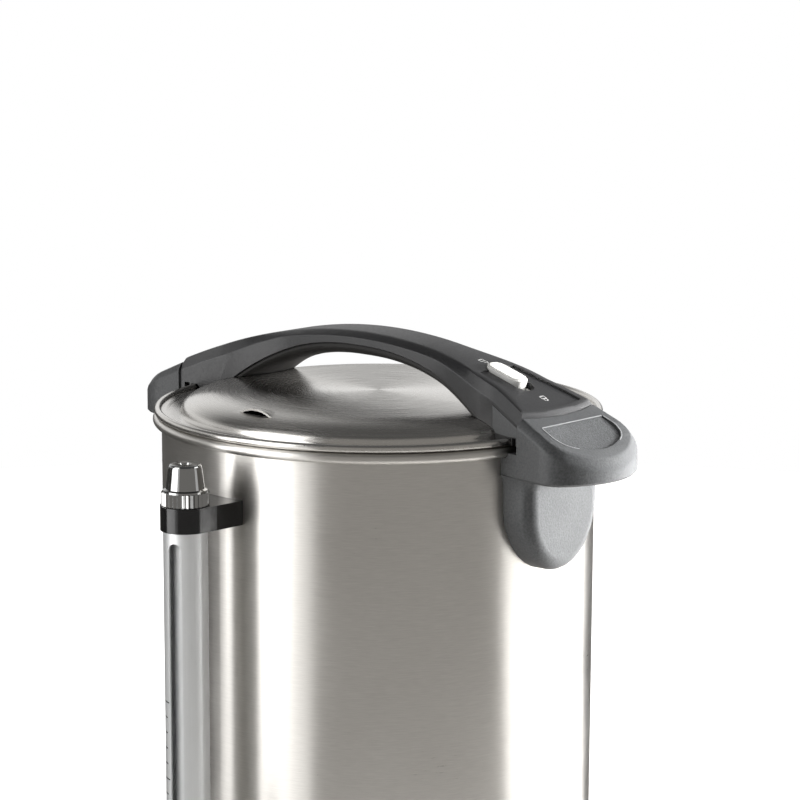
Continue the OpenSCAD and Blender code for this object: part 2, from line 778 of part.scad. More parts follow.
// One moulded side handle at +X: a sloping lug over a rounded tab
module ear_and_tab() {
    low = rim_z - ear_drop;
    function ear(d) = lug(ear_root, ear_corner_x, ear_corner_y, ear_corner_r, ear_tip, ear_flare, d);
    function level(d, z) = [for (p = ear(d)) [p[0], p[1], z]];
    function under_top(d, drop) = [for (p = ear(d)) [p[0], p[1], ear_z(p[0]) - drop]];
    function tab_ring(x, d) = [for (p = tab_outline(d)) [x, p[0], p[1]]];
    function flare_ring(d, z) = [for (p = tab_section(d)) [p[0], p[1], z]];
    flare = [for (a = [10:16:90])
        flare_ring(tab_fillet * (1 - cos(a)), low + 1 - tab_fillet * (1 - sin(a)))];
    edge = [for (a = [0:18:90]) tab_ring(tab_x - tab_round * (1 - sin(a)), tab_round * (1 - cos(a)))];
    skin([level(1.2, low), level(0, low + 1.2), under_top(0, bevel_h + 0.8), under_top(0.5, bevel_h - 0.9),
        under_top(bevel_w - 1.3, 0.9), under_top(bevel_w, 0)]);
    skin(concat([tab_ring(ear_root, 0)], edge));
    // Hollow curve from the tab to the underside of the lug
    skin(concat([flare_ring(-0.5, low - tab_fillet)], flare));
}

module handle_cuts() {
    translate([0, 0, rim_z - tab_drop - 10]) cylinder(r = body_r + seam_gap, h = tab_drop + 80);
    translate([0, 0, ledge_z]) cylinder(r = ear_in_r, h = 80);
    translate([0, 0, bead_z]) rotate_extrude() translate([bead_r, 0]) circle(r = rim_bead_r + slide_gap);
    for (z = handle_screw_z) translate([body_r - 5, 0, z]) rotate([0, 90, 0])
        cylinder(r = wall_screw_r + run_gap, h = screw_end + slide_gap - body_r + 5);
    pad_mid = (pad_x + pad_tip) / 2;
    on_slope(pad_mid) translate([-pad_mid, 0, -end_step - panel_depth]) linear_extrude(10)
        polygon(lug(pad_x, pad_corner_x, pad_corner_y, pad_corner_r, pad_tip, ear_flare, 0));
}

module side_handle_right() {
    color(handle_grey) difference() {
        ear_and_tab();
        handle_cuts();
        on_slope(slider_x) translate([bolt_tip, 0, bolt_top - bolt_t - 0.6])
            stadium(-20, lock_travel + 4, bolt_w + 1.4, bolt_t + 1.2);
    }
}

module side_handle_left() {
    color(handle_grey) rotate([0, 0, 180]) difference() {
        ear_and_tab();
        handle_cuts();
    }
}

module wall_screws() {
    color(steel) wall_screw_places() translate([screw_seat, 0, 0]) rotate([0, 90, 0])
        screw(wall_screw_r, wall_screw_l, wall_screw_r * 2, 2.2);
}

module wall_washers() {
    seat = sqrt(tank_r * tank_r - washer_r * washer_r) - 0.02;
    color(silicone) wall_screw_places() translate([screw_seat, 0, 0]) rotate([0, 90, 0]) difference() {
        cylinder(r = washer_r, h = seat - screw_seat);
        translate([0, 0, -cut]) cylinder(r = wall_screw_r + run_gap, h = 4);
    }
}

// Lid seen in section: its upper face raised by a distance, from the centre to the rolled edge
function lid_line(more) = concat([[0, lid_top + more]],
    [for (a = [0:10:90])
        [lid_plate_r + (shoulder_w + more) * sin(a), dome_z + (shoulder_h + more) * cos(a)]],
    [[dome_r + 0.3 + more, channel_z + 0.9 + more], [dome_r + 1.2 + more / 2, channel_z + more],
    [channel_out, channel_z + more], [channel_out + 1, channel_z + 1.1 + more],
    [channel_out + 2.2, channel_z + 1.1 + more]]);

module lid_shell() {
    line = lid_line(0);
    inner = lid_line(-lid_wall);
    hood_r = (vent_r * vent_r + vent_h * vent_h) / (2 * vent_h);
    vent_z = dome_z + shoulder_h * sqrt(1 - pow((-vent_y - lid_plate_r) / shoulder_w, 2));
    color(steel) union() {
        difference() {
            union() {
                rotate_extrude() polygon(concat(line,
                    [[lid_bead_c - 0.5, lid_bead_z], [lid_bead_c - 0.5, lid_bead_z - lid_wall]],
                    [for (i = [len(inner) - 1:-1:0]) inner[i]]));
                translate([0, 0, lid_bead_z]) rotate_extrude() translate([lid_bead_c, 0])
                    circle(r = lid_bead_r);
                translate([0, 0, channel_z - skirt_h]) difference() {
                    cylinder(r = skirt_r, h = skirt_h - lid_wall / 2);
                    translate([0, 0, -cut]) cylinder(r = skirt_r - lid_wall, h = skirt_h + 2 * cut);
                }
            }
            translate([0, vent_y, vent_z - 8]) difference() {
                cylinder(r = vent_r - 2, h = 16);
                translate([-20, -40, -cut]) cube([40, 40, 20]);
            }
            for (sx = [-1, 1]) for (sy = [-1, 1])
                translate([sx * lid_screw_x, sy * lid_screw_y, channel_z - 5])
                    cylinder(r = lid_screw_r + slide_gap, h = 10);
        }
        // Hood of the vent: the inner half of a shallow spherical cap
        intersection() {
            translate([0, vent_y, vent_z + vent_h - hood_r]) difference() {
                sphere(r = hood_r);
                sphere(r = hood_r - lid_wall);
            }
            translate([-20, vent_y, vent_z - 0.9]) cube([40, 40, 20]);
        }
    }
}

// Space taken by the lid below the handle, with a seating gap
module lid_space() {
    out = lid_bead_out + seam_gap;
    top = lid_bead_top + seam_gap;
    low = rim_z - 20;
    rotate_extrude() polygon(concat(lid_line(seam_gap),
        [[lid_bead_c - lid_bead_r, top], [out, top], [out, low], [0, low]]));
}

module lid_handle() {
    xs = [for (i = [0:stations]) -loft_x + 2 * loft_x * i / stations];
    edge_z = ear_z(end_r);
    color(charcoal) difference() {
        intersection() {
            skin([for (x = xs) cover_ring(x)]);
            // Round ends with a leaning edge down to the side handles
            rotate_extrude() polygon([[0, rim_z], [end_r, rim_z], [end_r, edge_z],
                [end_r - arch_top / tan(end_lean), edge_z + arch_top], [0, edge_z + arch_top]]);
        }
        lid_space();
        // Groove under each end that clears the rolled edges
        translate([0, 0, rim_z]) difference() {
            cylinder(r = notch_out, h = notch_z - rim_z);
            translate([0, 0, -cut]) cylinder(r = notch_in, h = notch_z);
        }
        for (sx = [-1, 1]) for (sy = [-1, 1]) translate([sx * lid_screw_x, sy * lid_screw_y, rim_z])
            cylinder(r = lid_screw_r + run_gap, h = 16);
        for (s = [-1, 1]) translate([s * grip_screw_x, 0, seam_z(grip_screw_x) - 2])
            cylinder(r = lid_screw_r + run_gap, h = 7.5);
        handle_panels();
        lock_room();
    }
}

// Sunk panels on top of the two ends, as deep all along the arc
module handle_panels() {
    border = 3.6;
    inner_x = knee_x - 16;
    w_in = side_w(inner_x) - 4 - border;
    w_out = side_w(end_r - border) - 4 - border;
    difference() {
        intersection() {
            translate([0, 0, rim_z]) linear_extrude(arch_top + 10) for (s = [0, 1]) mirror([s, 0]) polygon([
                [inner_x, -w_in], [knee_x, -side_w(knee_x) + 4 + border], [end_r, -w_out - 0.4],
                [end_r, w_out + 0.4], [knee_x, side_w(knee_x) - 4 - border], [inner_x, w_in]]);
            cylinder(r = end_r - border, h = rim_z + arch_top + 10);
        }
        translate([0, 60, rim_z + arch_top - arch_r]) rotate([90, 0, 0])
            cylinder(r = arch_r - panel_depth, h = 120, $fn = 360);
    }
}

// Slot, slider room and bolt channel of the lid lock
module lock_room() {
    room_t = flange_t + bolt_t + 1.5 * slide_gap;
    on_slope(slider_x) {
        translate([0, 0, -wall_over - cut])
            stadium(-button_l / 2 - slide_gap, button_l / 2 + lock_travel + slide_gap,
                button_w + 2 * slide_gap, 20);
        translate([-flange_l / 2 - slide_gap, -flange_w / 2 - slide_gap, -wall_over - room_t])
            cube([flange_l + lock_travel + 2 * slide_gap, flange_w + 2 * slide_gap, room_t]);
        translate([0, -bolt_w / 2 - slide_gap, bolt_top - bolt_t - slide_gap])
            cube([bolt_tip + 30, bolt_w + 2 * slide_gap, bolt_t + 2 * slide_gap]);
    }
}

module lid_grip() {
    reach = seam_reach + 5;
    n = 40;
    xs = [for (i = [0:n]) -reach + 2 * reach * i / n];
    head_z = grip_z(grip_screw_x) + 3.2;
    color(black) difference() {
        skin([for (x = xs) grip_ring(x)]);
        lid_space();
        for (s = [-1, 1]) translate([s * grip_screw_x, 0, rim_z]) {
            cylinder(r = lid_screw_r + slide_gap, h = arch_top);
            cylinder(r = lid_screw_r * 2 + slide_gap, h = head_z - rim_z);
        }
    }
}

module lid_screws() {
    color(steel) for (sx = [-1, 1]) for (sy = [-1, 1])
        translate([sx * lid_screw_x, sy * lid_screw_y, channel_z - lid_wall])
            screw(lid_screw_r, 10, lid_screw_r * 1.8, 1.8);
}

module grip_screws() {
    head_z = grip_z(grip_screw_x) + 3.2;
    color(steel) for (s = [-1, 1]) translate([s * grip_screw_x, 0, head_z])
        screw(lid_screw_r, seam_z(grip_screw_x) + 4.5 - head_z, lid_screw_r * 2, 2);
}

module lock_slider() {
    crown = 0.6;
    color("#f2f2ee") on_slope(slider_x) union() {
        translate([0, 0, -wall_over - flange_t / 2])
            stadium(-button_l / 2, button_l / 2, button_w, wall_over + flange_t / 2 + button_h - crown);
        translate([0, 0, button_h - crown])
            stadium(-button_l / 2 + 1, button_l / 2 - 1, button_w - 2, crown);
        translate([0, 0, -wall_over - slide_gap / 2 - flange_t]) block(flange_l, flange_w, flange_t);
    }
}

module latch_bolt() {
    color(steel) on_slope(slider_x) translate([bolt_back, -bolt_w / 2, bolt_top - bolt_t])
        cube([bolt_tip - bolt_back, bolt_w, bolt_t]);
}

// Outline with pointed ridges all round
function ridged(r, depth, n) =
    [for (i = [0:2 * n - 1]) let (a = 180 * i / n) (r - depth * (i % 2)) * [cos(a), sin(a)]];

module gauge_cap() {
    tip = cap_ring_h + cap_cone_h;
    color(chrome) translate([0, gauge_y, cap_z]) difference() {
        union() {
            linear_extrude(cap_ring_h - 1) polygon(ridged(cap_r, 0.9, cap_ridges));
            rotate_extrude() polygon(concat([[0, 0.5], [cap_r - 1, 0.5], [cap_r - 1, cap_ring_h],
                [cap_cone_r, cap_ring_h + 0.6], [cap_tip_r + 0.2, tip - 1.6]],
                arc([cap_tip_r - 1.5, tip - 1.6], 1.6, 0, 90, 4),
                [[3.2, tip], [2.6, tip - 1], [0, tip - 1]]));
        }
        translate([0, 0, -cut]) cylinder(r = glass_r + slide_gap, h = cap_bore_h + cut);
    }
}

module gauge_collar() {
    ring_r = guard_r + 1.6;
    color(black) translate([0, 0, collar_z]) difference() {
        linear_extrude(collar_h) difference() {
            union() {
                translate([0, gauge_y]) circle(r = ring_r);
                polygon([[-ring_r, gauge_y], [ring_r, gauge_y], [ring_r + 0.6, gauge_y + 9],
                    [collar_half_w, -body_r + 3], [-collar_half_w, -body_r + 3],
                    [-ring_r - 0.6, gauge_y + 9]]);
            }
            translate([0, gauge_y]) circle(r = guard_r + seam_gap);
            circle(r = body_r + seam_gap);
        }
        along_y(wall_screw_r + run_gap, -body_r + 3, -screw_end - slide_gap, collar_h / 2);
    }
}

module gauge_guard() {
    half = window_w / 2;
    color("#c4c5c6") translate([0, gauge_y, 0]) difference() {
        translate([0, 0, post_top]) cylinder(r = guard_r, h = collar_top - post_top);
        translate([0, 0, post_top - cut]) cylinder(r = guard_in, h = collar_top);
        rotate([0, 0, window_turn]) rotate([90, 0, 0]) translate([0, 0, guard_r / 2])
            linear_extrude(guard_r) {
                translate([-half, window_z]) square([window_w, window_top - half - window_z]);
                for (z = [window_z, window_top - half]) translate([0, z]) circle(r = half);
            }
    }
}

module gauge_glass() {
    color([0.8, 0.85, 0.85, 0.4]) translate([0, gauge_y, glass_z]) difference() {
        cylinder(r = glass_r, h = glass_top - glass_z);
        translate([0, 0, -cut]) cylinder(r = glass_r - glass_wall, h = glass_top);
    }
}

// Ring that holds the glass in the middle of a round seat
module glass_seal(r, z) {
    color(silicone) translate([0, gauge_y, z]) difference() {
        cylinder(r = r, h = seal_h);
        translate([0, 0, -cut]) cylinder(r = glass_r + run_gap, h = seal_h + 2 * cut);
    }
}

module gauge_seal_top() {
    glass_seal(guard_in - seam_gap, collar_top - 6);
}

module gauge_seal_bottom() {
    glass_seal(guard_in - 1.2, post_top - seal_h);
}

module tap_shank() {
    inside = -tank_r + shank_inside;
    flange_r = shank_r + 5;
    color(chrome) difference() {
        union() {
            along_y(shank_r, inside, gauge_y, tap_z);
            along_y(flange_r, -body_r - 2.5, -body_r - 5.5, tap_z);
            translate([0, gauge_y, 0]) rotate_extrude() polygon([[0, tap_z - 15], [post_r - 4, tap_z - 15],
                [post_r, tap_z - 11], [post_r, post_top], [0, post_top]]);
            along_y(spigot_r, gauge_y, spigot_end, tap_z);
        }
        along_y(passage_r, inside + cut, spigot_end - cut, tap_z);
        translate([0, gauge_y, tap_z]) cylinder(r = passage_r, h = 40);
        translate([0, gauge_y, glass_z]) cylinder(r = glass_r + seam_gap, h = 40);
        translate([0, gauge_y, post_top - seal_h]) cylinder(r = guard_in - 1.2 + seam_gap, h = 40);
    }
}

module shank_nut() {
    nut_t = 8;
    color(steel) translate([0, -washer_seat, tap_z]) rotate([-90, 0, 0]) difference() {
        cylinder(r = shank_r + 6, h = nut_t, $fn = 6);
        translate([0, 0, -cut]) cylinder(r = shank_r + run_gap, h = nut_t + 2 * cut);
    }
}

module shank_washers() {
    outer_r = shank_r + 5;
    color(silicone) difference() {
        union() {
            intersection() {
                along_y(outer_r, -washer_seat, -body_r, tap_z);
                cylinder(r = tank_r - seam_gap, h = rim_z);
            }
            difference() {
                along_y(outer_r, -body_r + 5, -body_r - 2.5, tap_z);
                cylinder(r = body_r + seam_gap, h = rim_z);
            }
        }
        along_y(shank_r + run_gap, 0, -body_r - 20, tap_z);
    }
}

module tap_body() {
    socket_r = chamber_r - 1;
    color(black) difference() {
        union() {
            along_y(socket_r, gauge_y - post_r - 0.5, valve_y, tap_z);
            translate([0, valve_y, 0]) rotate_extrude() polygon([
                [0, tap_z - spout_l], [spout_r, tap_z - spout_l],
                [spout_r + 1.5, tap_z - 15], [chamber_r - 1.5, tap_z - 14], [chamber_r, tap_z - 12],
                [chamber_r, chamber_top], [0, chamber_top]]);
        }
        along_y(spigot_r + seam_gap, gauge_y, spigot_end - 0.5, tap_z);
        along_y(passage_r, gauge_y, valve_y, tap_z);
        translate([0, valve_y, seat_z]) cylinder(r = chamber_in, h = 60);
        translate([0, valve_y, tap_z - spout_l - cut]) cylinder(r = spout_bore_r, h = spout_l);
    }
}

module tap_bonnet() {
    skirt = 8;
    color(black) difference() {
        translate([0, valve_y, 0]) union() {
            translate([0, 0, chamber_top - skirt]) linear_extrude(skirt + 2)
                polygon(ridged(bonnet_r, 0.7, cap_ridges));
            translate([0, 0, chamber_top])
                cylinder(r1 = bonnet_r - 0.7, r2 = bonnet_r - 2, h = bonnet_top - chamber_top);
            for (x = [cheek_in, -cheek_in - cheek_t]) translate([x, 0, 0]) rotate([90, 0, 90])
                linear_extrude(cheek_t) {
                    translate([-pivot_off, pivot_z]) circle(r = hub_r);
                    polygon([[-pivot_off - hub_r, pivot_z], [-pivot_off - 1, bonnet_top - 2],
                        [-pivot_off + hub_r, bonnet_top - 2], [-pivot_off + hub_r, pivot_z]]);
                }
        }
        translate([0, valve_y, chamber_top - skirt - cut])
            cylinder(r = chamber_r + seam_gap, h = skirt + cut);
        translate([0, valve_y, chamber_top - cut]) cylinder(r = stem_r + run_gap, h = 20);
        translate([-20, pivot_y, pivot_z]) rotate([0, 90, 0]) cylinder(r = pin_r + run_gap / 2, h = 40);
    }
}

// Bar across the lever at a place on its side view
module lever_bar(y, z, r, half_w) {
    translate([-half_w, y, z]) rotate([0, 90, 0]) cylinder(r = r, h = 2 * half_w);
}

module tap_lever() {
    rise = 32;
    tip_y = -lever_l * cos(rise);
    tip_z = lever_l * sin(rise);
    t = 5;
    paddle_corner_r = 4;
    neck_half_w = hub_half_w - 1;
    waist = 0.55;
    waist_half_w = lever_w * 0.32;
    color(black) translate([0, pivot_y, pivot_z]) difference() {
        union() {
            lever_bar(0, 0, hub_r, hub_half_w);
            // Finger that lifts the stem
            translate([-ball_half_w, 0, -1.3]) cube([2 * ball_half_w, pivot_off, 2.6]);
            lever_bar(pivot_off, 0, ball_r, ball_half_w);
            // Neck and paddle
            hull($fn = 32) {
                lever_bar(0, 0, hub_r - 0.5, neck_half_w);
                lever_bar(tip_y * waist, tip_z * waist, t / 2, waist_half_w);
            }
            hull($fn = 32) {
                lever_bar(tip_y * waist, tip_z * waist, t / 2, waist_half_w);
                for (s = [-1, 1])
                    translate([s * (lever_w / 2 - paddle_corner_r), tip_y * 0.9, tip_z * 0.9])
                        rotate([-rise, 0, 0]) cylinder(r = paddle_corner_r, h = t, center = true);
            }
        }
        lever_bar(0, 0, pin_r + run_gap, 20);
    }
}

module lever_pin() {
    half = cheek_in + cheek_t + 0.8;
    color(steel) translate([-half, pivot_y, pivot_z]) rotate([0, 90, 0]) cylinder(r = pin_r, h = 2 * half);
}

module tap_stem() {
    color(steel) translate([0, valve_y, 0]) difference() {
        union() {
            translate([0, 0, cup_z + 2]) cylinder(r = stem_r, h = head_z - cup_z - 1);
            translate([0, 0, head_z]) cylinder(r = head_r, h = head_top - head_z);
        }
        translate([-ball_half_w - slide_gap, -head_r - cut, pivot_z - ball_r - 0.2])
            cube([2 * (ball_half_w + slide_gap), 2 * (head_r + cut), 2 * ball_r + 0.4]);
    }
}

module seat_cup() {
    bore_r = stem_r + run_gap;
    bore_z = 2 - run_gap;
    color(silicone) translate([0, valve_y, cup_z]) rotate_extrude() polygon([[0, 0], [cup_r - 1, 0],
        [cup_r, 1], [cup_r, 2.5], [stem_r + 3, cup_h], [bore_r, cup_h], [bore_r, bore_z], [0, bore_z]]);
}

// Path of the valve spring: an even helix between its two seats
function spring_point(k) =
    let (
        a = 360 * k / 8,
        rise = spring_l - 2 * spring_wire_r - 0.4,
        t = k / (8 * spring_curls)
    )
    [spring_r * cos(a), spring_r * sin(a), spring_wire_r + 0.2 + rise * t];

// Six points round the spring's wire at one step of its path
function wire_ring(k) =
    let (c = spring_point(k), a = 360 * k / 8)
    [for (j = [0:5]) let (b = 60 * j) c + spring_wire_r * [cos(b) * cos(a), cos(b) * sin(a), sin(b)]];

module tap_spring() {
    steps = 8 * spring_curls;
    walls = [for (i = [0:steps - 1]) for (j = [0:5]) let (a = i * 6 + j, b = i * 6 + (j + 1) % 6)
        each [[a, b + 6, a + 6], [a, b, b + 6]]];
    ends = [for (j = [1:4]) each [[0, j + 1, j], [steps * 6, steps * 6 + j, steps * 6 + j + 1]]];
    color(steel) translate([0, valve_y, spring_z])
        polyhedron([for (k = [0:steps]) each wire_ring(k)], concat(walls, ends), convexity = 10);
}

module pump_foot() {
    r = foot_bell_r;
    neck = tube_r + 1;
    color(steel) translate([0, 0, foot_bell_z]) rotate_extrude() polygon([[r, 0], [r, 3], [r - 1, 4.5],
        [neck + 4, foot_bell_h - 8], [neck, foot_bell_h - 6], [neck, foot_bell_h],
        [tube_r + seam_gap, foot_bell_h], [tube_r + seam_gap, foot_bell_h - 10],
        [r - 2.2, 3.6], [r - 1.2, 0]]);
}

module pump_tube() {
    collar_t = 3;
    color(steel) difference() {
        union() {
            translate([0, 0, tube_z]) cylinder(r = tube_r, h = tube_top - tube_z);
            translate([0, 0, foot_bell_z + foot_bell_h]) cylinder(r = tube_r + 1, h = 2);
            translate([0, 0, basket_z - collar_t]) cylinder(r = sleeve_r + 1.5, h = collar_t);
        }
        translate([0, 0, tube_z - cut]) cylinder(r = tube_r - sheet_t, h = tube_top);
    }
}

// Rings of round holes in a flat sheet
module hole_rings(radii, pitch, r, z) {
    for (ring = radii) let (n = floor(2 * PI * ring / pitch)) for (i = [0:n - 1])
        rotate([0, 0, 360 * i / n]) translate([ring, 0, z - cut])
            cylinder(r = r, h = 2 * cut + sheet_t, $fn = 24);
}

module filter_basket() {
    bore_r = tube_r + slide_gap;
    sleeve_z = basket_z + basket_h * 0.6;
    wall_r = basket_r - sheet_t;
    lip_r = basket_r + 1.5;
    color(steel) difference() {
        rotate_extrude() polygon([[bore_r, basket_z], [basket_r - 3, basket_z], [basket_r, basket_z + 3],
            [basket_r, basket_top - 2], [lip_r, basket_top - 2], [lip_r, basket_top],
            [wall_r, basket_top], [wall_r, basket_z + 3.5], [basket_r - 3.5, basket_z + sheet_t],
            [sleeve_r, basket_z + sheet_t], [sleeve_r, sleeve_z], [bore_r, sleeve_z]]);
        hole_rings([for (k = [1:3]) basket_r * k / 3.8], 24, basket_hole_r, basket_z);
    }
}

module basket_cover() {
    bore_r = tube_r + slide_gap;
    rim = basket_r + 2.5;
    rim_h = 3.5;
    rise = 3;
    color(steel) translate([0, 0, basket_top + seam_gap]) difference() {
        rotate_extrude() polygon([[bore_r, rise], [tube_r + 6, rise], [tube_r + 9, 0], [rim, 0],
            [rim, rim_h], [rim - sheet_t, rim_h], [rim - sheet_t, sheet_t], [tube_r + 9.4, sheet_t],
            [tube_r + 6.4, rise + sheet_t], [bore_r, rise + sheet_t]]);
        hole_rings([for (k = [1:3]) basket_r * k / 3.5], 26, basket_hole_r, 0);
    }
}

body_shell();
tank_floor();
base_housing();
base_plate();
rubber_feet();
base_screws();
boil_heater();
warm_heater();
heater_clamp();
clamp_studs();
clamp_nuts();
thermostat();
thermal_fuse();
power_inlet();
inlet_pins();
switch_housing();
switch_rocker();
supply_wires();
indicator_lens();
side_handle_right();
side_handle_left();
wall_screws();
wall_washers();
lid_shell();
lid_handle();
lid_grip();
lid_screws();
grip_screws();
lock_slider();
latch_bolt();
gauge_cap();
gauge_collar();
gauge_guard();
gauge_glass();
gauge_seal_top();
gauge_seal_bottom();
tap_shank();
shank_nut();
shank_washers();
tap_body();
tap_bonnet();
tap_lever();
lever_pin();
tap_stem();
seat_cup();
tap_spring();
pump_foot();
pump_tube();
filter_basket();
basket_cover();
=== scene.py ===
import json
import math

import bmesh
import bpy
from bpy.props import FloatProperty, FloatVectorProperty, IntProperty, PointerProperty
from bpy.types import Operator, Panel, PropertyGroup
from mathutils import Matrix, Vector
from mathutils.bvhtree import BVHTree

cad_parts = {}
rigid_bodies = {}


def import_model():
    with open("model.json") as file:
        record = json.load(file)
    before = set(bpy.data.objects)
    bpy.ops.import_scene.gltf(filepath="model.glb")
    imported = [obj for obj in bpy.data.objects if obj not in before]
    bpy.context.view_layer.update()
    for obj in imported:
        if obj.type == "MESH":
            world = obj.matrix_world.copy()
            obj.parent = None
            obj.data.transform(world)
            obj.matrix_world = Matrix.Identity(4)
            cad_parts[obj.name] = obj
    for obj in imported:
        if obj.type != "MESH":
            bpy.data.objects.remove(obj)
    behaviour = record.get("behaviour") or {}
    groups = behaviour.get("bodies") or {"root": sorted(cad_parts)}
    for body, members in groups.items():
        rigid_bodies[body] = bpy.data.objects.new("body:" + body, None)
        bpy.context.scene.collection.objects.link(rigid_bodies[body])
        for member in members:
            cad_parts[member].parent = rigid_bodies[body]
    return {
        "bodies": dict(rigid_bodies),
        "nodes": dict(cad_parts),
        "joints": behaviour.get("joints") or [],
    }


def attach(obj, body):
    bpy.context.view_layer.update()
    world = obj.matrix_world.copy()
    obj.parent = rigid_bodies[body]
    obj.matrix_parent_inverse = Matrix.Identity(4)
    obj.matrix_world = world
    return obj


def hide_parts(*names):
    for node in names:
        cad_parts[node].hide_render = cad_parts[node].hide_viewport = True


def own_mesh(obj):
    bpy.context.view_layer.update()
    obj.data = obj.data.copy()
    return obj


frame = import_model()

bl_info = {
    "name": "Coffee urn",
    "version": (1, 0, 0),
    "blender": (4, 5, 0),
    "location": "View3D > Sidebar > Urn",
    "description": "Dresses the solids of a coffee urn with finishes, printed signs and a studio",
    "category": "Object",
}

NODES = frame["nodes"]
JOINTS = {joint["name"]: joint for joint in frame["joints"]}
MM = 0.001
WELD = 0.002 * MM  # Vertices nearer than this are one
FLAT = math.radians(0.6)  # Faces that turn by less are one flat
DOWN = Vector((0, 0, -1))
MADE = {}  # Materials, each by the name of the function that makes it


def clear_start_scene():
    """Removes what Blender's start-up file holds, so that only the urn is left."""
    kept = set(NODES.values()) | set(frame["bodies"].values())
    for thing in [o for o in bpy.data.objects if o not in kept]:
        bpy.data.objects.remove(thing)


clear_start_scene()
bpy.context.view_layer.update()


def linear(hex_colour):
    """Linear red, green and blue of an sRGB hex colour."""
    shares = [int(hex_colour[i:i + 2], 16) / 255 for i in (1, 3, 5)]
    return tuple(s / 12.92 if s <= 0.04045 else ((s + 0.055) / 1.055) ** 2.4 for s in shares)


def rgba(colour):
    """A colour with full opacity, as a node's socket takes it."""
    return (*colour, 1.0)


def per(size_mm):
    """Scale of a pattern on Object coordinates whose features are this wide."""
    return 1 / (size_mm * MM)


def colour(name, description, hex_colour):
    """A colour setting with its default as a hex value."""
    return FloatVectorProperty(name=name, description=description, subtype="COLOR", size=3,
                               min=0, max=1, default=linear(hex_colour))


def length(name, description, size_mm):
    """A length setting with its default in millimetres."""
    return FloatProperty(name=name, description=description, subtype="DISTANCE", unit="LENGTH",
                         min=0, default=size_mm * MM)


def angle(name, description, radians):
    """An angle setting."""
    return FloatProperty(name=name, description=description, subtype="ANGLE", default=radians)


def power(name, watts):
    """A setting for a lamp's power."""
    return FloatProperty(name=name, description="Power in watts", unit="POWER", default=watts)


def brightness(name, description, share):
    """A brightness setting, where 1 is white."""
    return FloatProperty(name=name, description=description, min=0, default=share)


class UrnFinish(PropertyGroup):
    """Colours of the urn's materials."""

    steel: colour("Steel", "Brushed stainless steel of the body and the lid", "#d8d5d0")
    charcoal: colour("Charcoal", "Moulded cover of the lid handle", "#29292a")
    grip: colour("Grip", "Softer grip under the lid handle", "#383736")
    handle: colour("Side handles", "Moulded side handles", "#4d4e4f")
    # Pale grey on the lid handle's lock end: a painted sheen where light from the left falls on its sides
    plate: colour("Knee plates", "Plates on the sides of the lid handle's lock end", "#5f6061")
    # The ridges' pale grey is a painted highlight along the thumb pads' edges
    ridge: colour("Ridges", "Burnished ridges beside the thumb pads", "#8f9091")
    pad: colour("Thumb pads", "Coarse grit in the side handles' pads", "#545556")
    black: colour("Black", "Moulded base, collar and tap", "#131314")
    slider: colour("Slider", "Moulded slider of the lid lock", "#f1f0ec")
    guard: colour("Gauge guard", "Satin tube round the gauge's glass", "#ebecec")
    print: colour("Print", "Printed signs of the lid lock", "#c4c4c2")
    chrome: colour("Chrome", "Plating of the gauge's cap and the tap's shank", "#9e9e9d")
    brass: colour("Brass", "Pins of the inlet and the fuse", "#c9a961")
    glass: colour("Glass", "Tube of the gauge", "#fbfcfc")
    wire: colour("Wires", "Jacket of the wires", "#7a2f28")
    silicone: colour("Silicone", "Seals and washers", "#d9d4c8")
    lamp: colour("Lamp", "Lens of the indicator lamp", "#c5331f")
    floor: colour("Floor", "Plain pale floor", "#b4b3b1")


class UrnStudio(PropertyGroup):
    """Camera and lights."""

    camera_reach: length("Camera distance", "From the urn's axis, level", 1386.13)
    camera_height: length("Camera height", "Above the floor", 650.74)
    camera_turn: angle("Camera turn", "Round the urn, from the gauge towards the lock", math.radians(43))
    camera_tilt: angle("Camera tilt", "Below level", 0.1787)
    camera_aside: angle("Camera aside", "To the right of the urn's axis", 0.0082)
    camera_roll: angle("Camera roll", "About its own axis", 0.0037)
    camera_lens: FloatProperty(name="Lens", description="Focal length in millimetres on a 36 mm sensor",
                               min=1, default=119.25)
    left_power: power("Left softbox", 24)
    right_power: power("Right softbox", 34)
    key_power: power("Key light", 172)
    front_power: power("Front light", 10)
    top_power: power("Top softbox", 4)
    fill: brightness("Fill", "Light from all round on what isn't shiny", 0.25)
    wall: brightness("Studio wall", "Grey wall that shiny pieces mirror", 0.36)
    dark_wall: brightness("Dark wall", "Walls at the left and behind that shiny pieces mirror", 0.08)
    ceiling: brightness("Ceiling", "What shiny pieces mirror overhead", 0.12)
    floor_lift: brightness("Floor lift", "Light added to the floor under the urn", 0.45)


